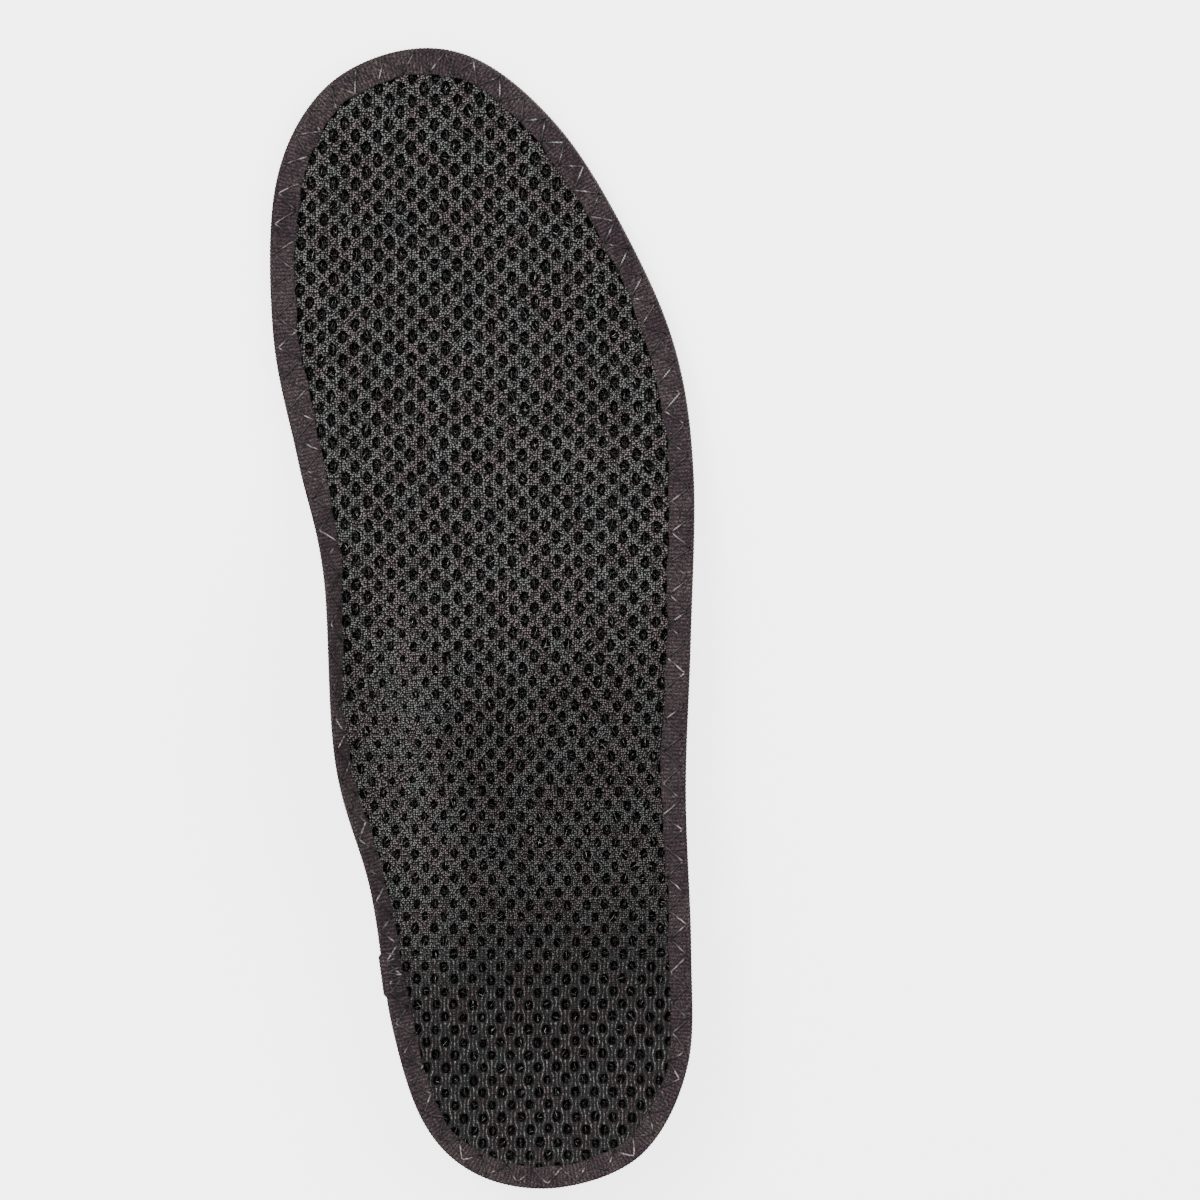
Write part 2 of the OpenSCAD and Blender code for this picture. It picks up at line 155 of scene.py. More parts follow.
SUPPORT_LINE = closed_curve(SUPPORT_CTRL, 24)
EDGE_COUNT = 1400
EDGE, PERIMETER = evenly(closed_curve(OUTLINE_CTRL, 60), EDGE_COUNT)
EDGE_IN = square_in(EDGE)
EDGE_S = np.arange(EDGE_COUNT) * PERIMETER / EDGE_COUNT
TOE_S = EDGE_S[EDGE[:, 1].argmax()]
# How far a point may lie past its nearest edge point, along the edge, and points located at a time
EDGE_STEP, LOCATE_BATCH = 0.3, 4000


def periodic(s, values):
    """Values given at the edge's points, read at length s along it."""
    return np.interp(np.mod(s, PERIMETER), np.append(EDGE_S, PERIMETER), np.append(values, values[0]))


def edge_point(s, d=0.0):
    """Points at inset d from the edge, at length s along it."""
    return np.stack([periodic(s, EDGE[:, k]) + d * periodic(s, EDGE_IN[:, k]) for k in (0, 1)], axis=-1)


def locate(points):
    """Length along the edge, and inset from it, of points in plan. Points outside have a negative inset."""
    points = np.asarray(points, float)[:, :2]
    s, d = np.empty(len(points)), np.empty(len(points))
    for start in range(0, len(points), LOCATE_BATCH):
        batch = slice(start, start + LOCATE_BATCH)
        part = points[batch]
        square = ((part[:, None] - EDGE[None]) ** 2).sum(axis=2)
        j = square.argmin(axis=1)
        off = part - EDGE[j]
        along = (off * np.stack([-EDGE_IN[j, 1], EDGE_IN[j, 0]], axis=1)).sum(axis=1)
        along = np.clip(along, -EDGE_STEP, EDGE_STEP)
        side = np.sign((off * EDGE_IN[j]).sum(axis=1))
        s[batch] = EDGE_S[j] + along
        d[batch] = np.sqrt(np.maximum(square.min(axis=1) - along ** 2, 0)) * side
    return s, d


def rim(s):
    """Height of the top at the edge, at length s along it."""
    y = periodic(s, EDGE[:, 1])
    return np.where(np.mod(s, PERIMETER) < TOE_S, smooth(y, INNER_RIM), smooth(y, OUTER_RIM))


def top_z(s, d, y):
    """Top of the insole at inset d from the edge at s, at the foot position y."""
    rise = np.clip(1 - d / smooth(periodic(s, EDGE[:, 1]), REACH_LINE), 0, 1)
    crown = smooth(y, CROWN_LINE)
    return crown + (rim(s) - crown) * rise ** 2


def under_z(s, d, y):
    """Underside of the laminate, which is squeezed thinner towards its edge."""
    squeeze = EDGE_SQUEEZE + (1 - EDGE_SQUEEZE) * np.clip(d / SQUEEZE_W, 0, 1)
    return top_z(s, d, y) - LAMINATE_T * squeeze


def layer_z(s, d, y, share, room=TAPE_T - 0.05):
    """Height at a share of the laminate, 0 its top and 1 its underside, clear of the tape round its edge."""
    tape = room * (1 - smoothstep(d, BAND_UNDER_W - 0.7, BAND_UNDER_W + 0.9))
    high, low = top_z(s, d, y) - tape, under_z(s, d, y) + tape
    return high + (low - high) * share


def on_layer(p, s, d, share):
    """Points in plan raised to a share of the laminate."""
    return np.column_stack([p, layer_z(s, d, p[:, 1], share)])


# ---- mesh helpers ----

rng = np.random.default_rng(38)


def new_object(name, data):
    """An object in the scene for a mesh, a light or a camera."""
    obj = bpy.data.objects.new(name, data)
    bpy.context.scene.collection.objects.link(obj)
    return obj


def mesh_object(name, points, faces, materials, face_material=None, flat=False, attributes=None):
    """A mesh object in the row frame from points in millimetres."""
    mesh = bpy.data.meshes.new(name)
    mesh.from_pydata(to_row(points).tolist(), [], faces)
    for material in materials:
        mesh.materials.append(material)
    if face_material is not None:
        mesh.polygons.foreach_set("material_index", np.asarray(face_material, np.int32))
    mesh.polygons.foreach_set("use_smooth", np.full(len(mesh.polygons), not flat))
    for key, values in (attributes or {}).items():
        layer = mesh.attributes.new(key, "FLOAT", "POINT")
        layer.data.foreach_set("value", np.asarray(values, np.float32))
    mesh.update()
    return new_object(name, mesh)


def grid_faces(rows, cols, wrap_rows=False, wrap_cols=False, start=0):
    """Quads over a grid of points numbered row by row."""
    i = np.arange(rows if wrap_rows else rows - 1)[:, None]
    j = np.arange(cols if wrap_cols else cols - 1)[None]
    i2, j2 = (i + 1) % rows, (j + 1) % cols
    corners = np.broadcast_arrays(i * cols + j, i2 * cols + j, i2 * cols + j2, i * cols + j2)
    return (np.stack(corners, axis=-1).reshape(-1, 4) + start).tolist()


def ring_caps(count, first, last):
    """Ladders of quads that close the first and the last loop of a ring grid from side to side."""
    half = count // 2
    rungs = [(j, j + 1, count - j - 1, (count - j) % count) for j in range(half)]
    caps = []
    for a, b, c, d in rungs:
        quad = list(dict.fromkeys([a, b, c, d]))
        if len(quad) > 2:
            caps.append([first + k for k in quad[::-1]])
            caps.append([last + k for k in quad])
    return caps


def end_faces(rows, cols, start=0):
    """Faces that close the first and the last row of a grid of points."""
    last = start + (rows - 1) * cols
    return [list(range(start, start + cols)), list(range(last, last + cols))[::-1]]


def tubes(paths, radius, sides=6):
    """Closed round tubes along several paths of the same number of points, as points and faces."""
    paths = np.asarray(paths, float)
    count, length = paths.shape[:2]
    run = np.gradient(paths, axis=1)
    run /= np.linalg.norm(run, axis=2)[..., None]
    side = np.cross(run, [0, 0, 1.0])
    side /= np.maximum(np.linalg.norm(side, axis=2)[..., None], 1e-6)
    up = np.cross(side, run)
    turn = np.arange(sides) * 2 * math.pi / sides
    ring = (side[:, :, None] * np.cos(turn)[:, None] + up[:, :, None] * np.sin(turn)[:, None]) * radius
    points = (paths[:, :, None] + ring).reshape(-1, 3)
    faces = []
    for k in range(count):
        start = k * length * sides
        faces += grid_faces(length, sides, wrap_cols=True, start=start)
        faces += end_faces(length, sides, start)
    return points, faces


# ---- materials ----

GRAIN_TURN, GRAIN_STRETCH, GRAIN_SIZE = math.radians(38), 1.9, 0.00082
# Creases drift by GRAIN_DRIFT over a GRAIN_DRIFT_SIZE
GRAIN_DRIFT, GRAIN_DRIFT_SIZE = 0.0008, 0.0012
LOOPS_PER_STRAND, LOOPS_PER_MM = 2.25, 2.1
FOAM_CELL = 0.0006
# Painted shade in the gaps between the yarn's loops, the yarn's own tone, and the painted highlight on the
# loops' tops
YARN_GAP_SHADE, YARN_MID, YARN_HIGHLIGHT = (0.004, 0.0038, 0.0038), (0.036, 0.034, 0.034), (0.27, 0.262, 0.258)


def new_material(name, colour, roughness, **sockets):
    """A material with its shader, and with constant values on the shader's own sockets."""
    material = bpy.data.materials.new(name)
    material.use_nodes = True
    shader = material.node_tree.nodes["Principled BSDF"]
    shader.inputs["Base Color"].default_value = (*colour, 1)
    shader.inputs["Roughness"].default_value = roughness
    for key, value in sockets.items():
        shader.inputs[key.replace("_", " ")].default_value = value
    return material, material.node_tree, shader


def add(tree, kind, inputs=None, **settings):
    """A node with its settings, and its inputs linked or set."""
    node = tree.nodes.new(kind)
    for key, value in settings.items():
        setattr(node, key, value)
    for key, value in (inputs or {}).items():
        if isinstance(value, bpy.types.NodeSocket):
            tree.links.new(value, node.inputs[key])
        else:
            node.inputs[key].default_value = value
    return node


def place(tree):
    """The object's own coordinates, in metres."""
    return add(tree, "ShaderNodeTexCoord").outputs["Object"]


def noise(tree, size, detail=2.0, rough=0.5, vector=None):
    """Noise with features about size metres across."""
    inputs = {"Vector": vector or place(tree), "Scale": 1 / size, "Detail": detail, "Roughness": rough}
    return add(tree, "ShaderNodeTexNoise", inputs).outputs["Fac"]


def ramp(tree, factor, stops):
    """Colours along a factor, from (position, (r, g, b)) stops."""
    node = add(tree, "ShaderNodeValToRGB", {"Fac": factor})
    elements = node.color_ramp.elements
    while len(elements) < len(stops):
        elements.new(0.5)
    for element, (position, colour) in zip(elements, stops):
        element.position = position
        element.color = (*colour, 1)
    return node.outputs["Color"]


def grey(tree, factor, stops):
    return ramp(tree, factor, [(position, (value,) * 3) for position, value in stops])


def maths(tree, operation, a, b=0.0):
    """The result of one Math node."""
    return add(tree, "ShaderNodeMath", {0: a, 1: b}, operation=operation).outputs["Value"]


def mix(tree, factor, a, b, blend="MIX"):
    """The colours a and b mixed; sockets 0, 6 and 7 are the node's factor and its two colours."""
    node = add(tree, "ShaderNodeMix", data_type="RGBA", blend_type=blend)
    for socket, value in ((node.inputs[0], factor), (node.inputs[6], a), (node.inputs[7], b)):
        if isinstance(value, bpy.types.NodeSocket):
            tree.links.new(value, socket)
        else:
            socket.default_value = value
    return node.outputs[2]


def paint(tree, shader, tone, *tints):
    """Links a tone, multiplied by each tint, to the shader's base colour."""
    for tint in tints:
        tone = mix(tree, 1.0, tone, tint, blend="MULTIPLY")
    tree.links.new(tone, shader.inputs["Base Color"])


def bump(tree, shader, height, strength, distance):
    node = add(tree, "ShaderNodeBump", {"Height": height, "Strength": strength, "Distance": distance})
    tree.links.new(node.outputs["Normal"], shader.inputs["Normal"])


def attribute(tree, name):
    return add(tree, "ShaderNodeAttribute", attribute_name=name).outputs["Fac"]


def knit_loops(tree, across, along):
    """Painted highlight on the loops' tops, fading to painted shade at their edges, and brighter on some
    loops than others. The loops sit in rows on the strands, about two side by side on each.
    """
    rows = add(tree, "ShaderNodeCombineXYZ", {"X": maths(tree, "MULTIPLY", across, LOOPS_PER_STRAND),
                                              "Y": maths(tree, "MULTIPLY", along, LOOPS_PER_MM)}).outputs[0]
    loop = add(tree, "ShaderNodeTexVoronoi", {"Vector": rows, "Scale": 1.0, "Randomness": 0.65},
               voronoi_dimensions="2D")
    # Painted highlight and shade: each loop is bright at its middle and dark at its edge
    dome = grey(tree, loop.outputs["Distance"], [(0.08, 1.0), (0.34, 0.5), (0.52, 0.0)])
    # Painted glint: some loops are painted brighter than others
    loop_glint = grey(tree, loop.outputs["Color"], [(0.25, 0.5), (0.5, 0.72), (0.7, 1.0)])
    return maths(tree, "MULTIPLY", dome, loop_glint)


def knit_strands(tree, across):
    """Painted highlight along the heel's open strands, which lie as broken bright lines, with painted shade
    between them.
    """
    path = maths(tree, "ADD", across, maths(tree, "MULTIPLY", noise(tree, 0.0009, 2.0), 0.5))
    wave = maths(tree, "SINE", maths(tree, "MULTIPLY", path, 2 * math.pi))
    strand = grey(tree, wave, [(0.0, 0.0), (0.95, 1.0)])
    fibre = grey(tree, noise(tree, 0.0007, 2.0, 0.6), [(0.36, 0.15), (0.5, 0.55), (0.62, 1.0)])
    return maths(tree, "MULTIPLY", maths(tree, "MULTIPLY", strand, fibre), 0.7)


def knit_yarn():
    """Black textured polyester of the spacer mesh: rows of loops with painted highlights, and painted shade
    down in the holes.
    """
    material, tree, shader = new_material("knit_yarn", (0.06, 0.06, 0.058), 0.5, Specular_IOR_Level=0.25)
    web, heel, across, along, painted_shade = (
        attribute(tree, name) for name in ("web", "smooth_knit", "across", "along", "painted_shade"))
    cloth = mix(tree, maths(tree, "MULTIPLY", heel, 0.7), knit_loops(tree, across, along),
                knit_strands(tree, across))
    tone = ramp(tree, cloth, [(0.0, YARN_GAP_SHADE), (0.35, YARN_MID), (0.8, YARN_HIGHLIGHT)])
    cast = ramp(tree, noise(tree, 0.006), [(0.4, (1.0, 0.86, 0.88)), (0.6, (0.92, 1.0, 0.97))])
    # Painted shade: the yarn is painted darker down the holes' walls and on the back, and darker still over
    # the middle of the cover; its specular level is dimmed the same way
    depth = grey(tree, maths(tree, "ADD", maths(tree, "MULTIPLY", web, 0.5), 0.5),
                 [(0.0, 0.3), (0.42, 0.42), (0.54, 1.0)])
    depth = maths(tree, "MULTIPLY", depth, maths(tree, "SUBTRACT", 1.0, maths(tree, "MULTIPLY", painted_shade, 0.33)))
    paint(tree, shader, tone, cast, depth)
    tree.links.new(maths(tree, "MULTIPLY", depth, 0.05), shader.inputs["Specular IOR Level"])
    bump(tree, shader, cloth, 1.0, 0.0003)
    return material


def filament():
    """Clear spacer filaments between the mesh's two faces, mostly dark, with painted glints here and there.
    """
    material, tree, shader = new_material("spacer_filament", (0.12, 0.12, 0.12), 0.2, Specular_IOR_Level=0.6)
    paint(tree, shader, grey(tree, noise(tree, 0.0012), [(0.48, 0.008), (0.6, 0.06), (0.7, 0.4)]))
    return material


def binding_tape():
    """Brown-black knitted tape with a fine cross grain."""
    material, tree, shader = new_material(
        "binding_tape", (0.03, 0.024, 0.024), 0.8, Specular_IOR_Level=0.15)
    patch = noise(tree, 0.009, 2.0, 0.6)
    fibre = noise(tree, 0.00034, 3.0, 0.7)
    tone = ramp(tree, patch, [(0.35, (0.018, 0.0115, 0.0145)), (0.65, (0.029, 0.022, 0.0225))])
    speckle = ramp(tree, fibre, [(0.32, (0.1, 0.1, 0.12)), (0.5, (0.9, 0.9, 0.9)), (0.66, (3.6, 3.5, 3.5))])
    # Painted shade in the grooves between the ribs and a painted highlight on their crests
    groove = grey(tree, attribute(tree, "rib"), [(0.0, 0.45), (0.5, 1.0), (1.0, 1.35)])
    paint(tree, shader, tone, groove, speckle)
    bump(tree, shader, fibre, 0.6, 0.00012)
    return material


def sewing_thread():
    """Dark filament thread with a two-ply twist, with painted glints here and there."""
    material, tree, shader = new_material(
        "sewing_thread", (0.02, 0.018, 0.018), 0.35, Specular_IOR_Level=0.35)
    where = place(tree)
    ply = add(tree, "ShaderNodeTexWave", {"Vector": where, "Scale": 900.0, "Distortion": 1.5},
              bands_direction="DIAGONAL").outputs["Fac"]
    # Painted glints: bright patches along the thread, up to seven times its tone
    glint = grey(tree, noise(tree, 0.0028, 1.0, 0.5, where), [(0.45, 0.3), (0.56, 1.2), (0.66, 7.0)])
    tone = ramp(tree, ply, [(0.2, (0.012, 0.011, 0.011)), (0.8, (0.045, 0.041, 0.04))])
    paint(tree, shader, tone, glint)
    bump(tree, shader, ply, 0.5, 0.0001)
    return material


def eva_foam(name, rough):
    """Grey EVA foam: rough on the sheet's ground, smoother on the pressed pyramids."""
    material, tree, shader = new_material(name, (0.06, 0.062, 0.066), 0.6, Specular_IOR_Level=0.25)
    grain = noise(tree, 0.00035 if rough else 0.0006, 4.0, 0.7)
    patch = noise(tree, 0.02, 2.0, 0.5)
    tone = ramp(tree, patch, [(0.35, (0.041, 0.041, 0.044)), (0.65, (0.056, 0.053, 0.054))])
    spread = 0.9 if rough else 0.3
    speckle = grey(tree, grain, [(0.3, 1 - spread * 0.7), (0.5, 1.0), (0.7, 1 + spread)])
    paint(tree, shader, tone, speckle)
    bump(tree, shader, grain, 0.9 if rough else 0.3, 0.00025)
    return material


def open_foam():
    """Charcoal open-cell foam of the cushion layer."""
    material, tree, shader = new_material("open_foam", (0.03, 0.03, 0.032), 0.9)
    voronoi = add(tree, "ShaderNodeTexVoronoi", {"Vector": place(tree), "Scale": 1 / FOAM_CELL})
    cells = voronoi.outputs["Distance"]
    paint(tree, shader, grey(tree, cells, [(0.0, 0.012), (0.5, 0.05)]))
    bump(tree, shader, cells, 0.8, 0.0002)
    return material


def leather_grain():
    """Black moulded skin with a slanting, wrinkled leather grain whose creases are painted dark as shade, and
    a satin shine.
    """
    material, tree, shader = new_material(
        "leather_grain", (0.03, 0.032, 0.036), 0.32, Specular_IOR_Level=0.5)
    where = place(tree)
    drift = add(tree, "ShaderNodeTexNoise", {"Vector": where, "Scale": 1 / GRAIN_DRIFT_SIZE, "Detail": 1.0})
    bend = add(tree, "ShaderNodeVectorMath", {0: drift.outputs["Color"], 1: (GRAIN_DRIFT, GRAIN_DRIFT, 0.0)},
               operation="MULTIPLY")
    bent = add(tree, "ShaderNodeVectorMath", {0: where, 1: bend.outputs[0]}, operation="ADD")
    turned = add(tree, "ShaderNodeMapping", {"Vector": bent.outputs[0]}, vector_type="TEXTURE")
    turned.inputs["Rotation"].default_value = (0, 0, GRAIN_TURN)
    turned.inputs["Scale"].default_value = (GRAIN_STRETCH, 1, 1)
    pebble = add(tree, "ShaderNodeTexVoronoi", {"Vector": turned.outputs[0], "Scale": 1 / GRAIN_SIZE},
                 feature="DISTANCE_TO_EDGE").outputs["Distance"]
    # Painted shade: the grain's creases are painted near black and the pebbles' tops lighter, on top of the
    # bump
    dome = grey(tree, pebble, [(0.0, 0.0), (0.1, 0.45), (0.25, 0.82), (0.5, 1.0)])
    tone = ramp(tree, dome, [(0.0, (0.003, 0.003, 0.0035)), (0.6, (0.02, 0.0195, 0.0225)),
                             (1.0, (0.04, 0.039, 0.044))])
    cast = ramp(tree, noise(tree, 0.007), [(0.4, (1, 0.92, 0.95)), (0.6, (0.92, 1, 1.03))])
    paint(tree, shader, tone, cast)
    height = maths(tree, "ADD", dome, maths(tree, "MULTIPLY", noise(tree, 0.0003), 0.25))
    bump(tree, shader, height, 0.62, 0.0003)
    gloss = grey(tree, noise(tree, 0.006), [(0.3, 0.38), (0.7, 0.48)])
    tree.links.new(gloss, shader.inputs["Roughness"])
    return material


def smooth_moulding():
    """The same moulding where the index panel is smooth."""
    material, tree, shader = new_material(
        "smooth_moulding", (0.075, 0.073, 0.086), 0.4, Specular_IOR_Level=0.4)
    haze = noise(tree, 0.0015, 3.0, 0.6)
    tree.links.new(grey(tree, haze, [(0.3, 0.34), (0.7, 0.48)]), shader.inputs["Roughness"])
    tone = ramp(tree, noise(tree, 0.004), [(0.3, (0.066, 0.064, 0.076)), (0.7, (0.084, 0.082, 0.095))])
    paint(tree, shader, tone)
    bump(tree, shader, haze, 0.1, 0.0001)
    return material


def white_plug():
    """White moulded plastic with a faint mould texture and a little grime."""
    material, tree, shader = new_material(
        "white_plug", (0.78, 0.78, 0.76), 0.42, Specular_IOR_Level=0.45)
    grime = noise(tree, 0.004, 3.0, 0.6)
    paint(tree, shader, ramp(tree, grime, [(0.3, (0.84, 0.84, 0.81)), (0.6, (0.92, 0.92, 0.91))]))
    bump(tree, shader, noise(tree, 0.0004, 2.0), 0.12, 0.0001)
    return material


YARN, FILAMENT, TAPE, THREAD = knit_yarn(), filament(), binding_tape(), sewing_thread()
EVA_ROUGH, EVA_SMOOTH = eva_foam("eva_ground", True), eva_foam("eva_pressed", False)
FOAM, LEATHER, MOULDING, WHITE = open_foam(), leather_grain(), smooth_moulding(), white_plug()

# ---- spacer mesh ----

KNIT_TURN = math.radians(6.1)
CELL_SIDES = 12
# Steps round a lattice cell, in thirds of half a pitch, from its outer corner through its front corner
CELL_RING = [(3, 0), (2, 1), (1, 2), (0, 3), (-1, 2), (-2, 1), (-3, 0), (-2, -1), (-1, -2), (0, -3), (1, -2),
             (2, -1)]
PITCH_X = [(0, 4.05), (70, 4.1), (130, 4.8), (260, 4.8)]
PITCH_Y = [(0, 5.4), (70, 5.4), (130, 5.15), (260, 5.15)]
HOLE_X = [(0, 0.82), (80, 0.82), (130, 0.97), (260, 1.03)]
HOLE_Y = [(0, 1.1), (80, 1.13), (130, 1.42), (260, 1.55)]
HOLE_DEPTH = 1.5
STRANDS_PER_PITCH = 4
STRAND_PARTING, LOOP_PARTING = 0.62, 0.1
# Inset of the cover's own edge, and the least inset of a hole's centre
MESH_EDGE, HOLE_EDGE_D = 1.0, 3.0
KNOT = 0.06
# Loops of a hole: share of the way from the lip out to the web, scale of the lip, depth, "web" value
HOLE_LOOPS = [(0.6, 1, -0.02, 0.6), (0.14, 1, 0.07, 0.14), (0, 1, 0.35, 0), (0, 0.98, 1.0, -0.5),
              (0, 1.12, HOLE_DEPTH, -1)]


def knit_rows(j):
    """Distance along the knit of row j, in millimetres."""
    rows = np.arange(-12, 130)
    step = smooth(np.clip(rows * 2.6, 0, 250), PITCH_Y) / 2
    v_of_row = np.concatenate([[0], np.cumsum(step[1:])])
    return np.interp(j, rows, v_of_row - np.interp(0, rows, v_of_row))


def yarn_lines(i, j, parting):
    """How many strands lie left of a lattice place: the strands part round each hole."""
    return STRANDS_PER_PITCH * (i / 2 - parting / (2 * math.pi) * np.sin(math.pi * i) * np.cos(math.pi * j))


def knit_place(i, j):
    """Point in plan of the lattice place (i, j), counted in half pitches across and along."""
    v = knit_rows(j)
    u = i * smooth(np.clip(v, 0, 250), PITCH_X) / 2
    u = u + 0.22 * np.sin(v / 9.0 + u / 17.0)
    v = v + 0.22 * np.sin(u / 8.0 - v / 21.0)
    x = u * math.cos(KNIT_TURN) + v * math.sin(KNIT_TURN) - 13.5
    y = -u * math.sin(KNIT_TURN) + v * math.cos(KNIT_TURN)
    return np.stack([x, y], axis=-1)


def pinch(s, d, y):
    """Share by which the holes close where the cover is pressed into the arch's hollow."""
    inner = np.mod(s, PERIMETER) < TOE_S
    return np.where(inner, 0.5 * np.exp(-((d - 15) / 7) ** 2 - ((y - 105) / 20) ** 2), 0)


def hole_edge(y, size, cosine, sine):
    """Offsets of a hole's lip across and along the knit, for holes at the foot positions y."""
    return smooth(y, HOLE_X) * size * cosine, smooth(y, HOLE_Y) * size * sine


def knit_cells():
    """Lattice cells under the cover, their corners in thirds of half a pitch, and each cell's corners."""
    i, j = np.meshgrid(np.arange(-40, 41), np.arange(-8, 112))
    even = (i + j) % 2 == 0
    cells = np.stack([i[even], j[even]], axis=1)
    rings = cells[:, None] * 3 + np.array(CELL_RING)[None]
    _, corner_d = locate(knit_place(rings[..., 0].ravel() / 3, rings[..., 1].ravel() / 3))
    kept = (corner_d.reshape(-1, CELL_SIDES) > MESH_EDGE).any(axis=1)
    keys, index = np.unique(rings[kept].reshape(-1, 2), axis=0, return_inverse=True)
    return cells[kept], keys, index.reshape(-1, CELL_SIDES)


def web_points(keys):
    """Points of the webs on the cover's face, and the same points on its back."""
    web = knit_place(keys[:, 0] / 3, keys[:, 1] / 3)
    s, d = locate(web)
    outside = d < MESH_EDGE
    web[outside] = edge_point(s[outside], MESH_EDGE)
    d = np.maximum(d, MESH_EDGE)
    crossing = ((keys % 3) == 0).all(axis=1)
    knots = np.where(crossing, KNOT, -KNOT) + rng.normal(0, KNOT / 2, len(keys))
    calm = smoothstep(d, 1.5, 4)
    top = on_layer(web, s, d, 0)
    top[:, 2] += knots * calm
    return top, on_layer(web, s, d, MESH_SHARE)


def hole_lips(c, size):
    """Points of the lip of each hole, as offsets from its centre; towards the toe they are more pointed."""
    turn = np.arange(CELL_SIDES) * 2 * math.pi / CELL_SIDES
    pointed = 1 + 0.3 * smoothstep(c[:, 1], 85, 130)[:, None]
    cosine = np.sign(np.cos(turn)) * np.abs(np.cos(turn)) ** pointed
    x, y = hole_edge(c[:, 1][:, None], size[:, None], cosine, np.sin(turn))
    return np.stack([x * math.cos(KNIT_TURN) + y * math.sin(KNIT_TURN),
                     -x * math.sin(KNIT_TURN) + y * math.cos(KNIT_TURN)], axis=-1)


def knit_attributes(points, webs, places):
    """The values that the yarn's material reads at the cover's points."""
    smooth_knit = 1 - smoothstep(points[:, 1], 35, 70)
    parting = LOOP_PARTING + (STRAND_PARTING - LOOP_PARTING) * smooth_knit
    # Painted shade: the yarn is painted darker from the heel cup to the ball of the foot, except along the
    # inner side, where the arch is
    painted_shade = (1 - smoothstep(points[:, 1], 95, 130)) * smoothstep(points[:, 1], 20, 60)
    return {
        "web": webs,
        "smooth_knit": smooth_knit,
        "painted_shade": painted_shade * smoothstep(points[:, 0], -25, -10),
        "across": yarn_lines(places[:, 0], places[:, 1], parting),
        "along": knit_rows(places[:, 1]),
    }


def mesh_cover():
    """Spacer mesh as one closed solid: webs with rounded shoulders round open holes, over a flat back."""
    cells, keys, index = knit_cells()
    n_web = len(keys)
    top, back = web_points(keys)
    points, webs = [top, back], [np.ones(n_web), np.full(n_web, -1.0)]
    places = [keys / 3, keys / 3]
    total = 2 * n_web

    centre = knit_place(cells[:, 0].astype(float), cells[:, 1].astype(float))
    s, d = locate(centre)
    holed = d > HOLE_EDGE_D
    faces = (index[:, ::-1] + n_web).tolist() + index[~holed].tolist()

    c, ring, cell = centre[holed], index[holed], cells[holed].astype(float)
    hs, hd = s[holed], d[holed]
    size = (1 - pinch(hs, hd, c[:, 1])) * rng.uniform(0.9, 1.1, len(c))
    c = c + rng.normal(0, 0.09, c.shape)
    lean = hole_lips(c, size)
    outer = top[ring][..., :2]
    corner = keys[ring] / 3 - cell[:, None]
    previous = ring
    for share, scale, drop, value in HOLE_LOOPS:
        loop = c[:, None] + lean * scale + (outer - c[:, None] - lean) * share
        flat = loop.reshape(-1, 2)
        ls, ld = locate(flat)
        wobble = rng.normal(0, 0.035, len(flat)) if share else 0
        z = layer_z(ls, ld, flat[:, 1], 0) - drop + wobble
        z = np.maximum(z, layer_z(ls, ld, flat[:, 1], MESH_SHARE) + 0.15)
        points.append(np.column_stack([flat, z]))
        webs.append(np.full(len(flat), float(value)))
        # The lattice place that each point of the loop stands on
        reach = np.linalg.norm(loop - c[:, None], axis=2)
        reach = reach / np.linalg.norm(outer - c[:, None], axis=2)
        places.append((cell[:, None] + corner * reach[..., None]).reshape(-1, 2))
        number = total + np.arange(len(flat)).reshape(-1, CELL_SIDES)
        total += len(flat)
        quads = [previous, np.roll(previous, -1, axis=1), np.roll(number, -1, axis=1), number]
        faces += np.stack(quads, axis=-1).reshape(-1, 4).tolist()
        previous = number
    faces += previous.tolist()

    # Side wall along the cells' outer border
    edges = np.stack([index, np.roll(index, -1, axis=1)], axis=-1).reshape(-1, 2).tolist()
    forward = {tuple(e) for e in edges}
    faces += [[a, a + n_web, b + n_web, b] for a, b in edges if (b, a) not in forward]
    points = np.concatenate(points)
    values = knit_attributes(points, np.concatenate(webs), np.concatenate(places))
    cover = mesh_object("mesh_cover", points, faces, [YARN], attributes=values)
    return cover, spacer_filaments(c, hs, hd, size)


def spacer_filaments(c, hs, hd, size):
    """Filaments that cross each hole below its lip, for holes at c."""
    paths = []
    for _ in range(2):
        a = rng.uniform(0, 2 * math.pi, len(c))
        b = a + math.pi + rng.uniform(-0.9, 0.9, len(c))
        ends = []
        for angle in (a, b):
            p = c + np.stack(hole_edge(c[:, 1], size, np.cos(angle), np.sin(angle)), axis=1) * 1.05
            ends.append(np.column_stack([p, layer_z(hs, hd, c[:, 1], 0) - rng.uniform(0.5, 1.3, len(c))]))
        middle = (ends[0] + ends[1]) / 2 + rng.normal(0, 0.15, (len(c), 3))
        paths.append(np.stack([ends[0], middle, ends[1]], axis=1))
    points, faces = tubes(np.concatenate(paths), 0.07, 3)
    return mesh_object("mesh_filaments", points, faces, [FILAMENT])


# ---- foam and base sheet ----

LAYER_INSETS = [1.0, 2.0, 3.5, 5.0, 6.0, 6.8, 7.6, 9, 11.5, 14, 16.5, 19]
LAYER_STATIONS = 360
# Steps from the innermost inset to the middle line
SPINE_STEPS = [0.3, 0.6, 0.85]


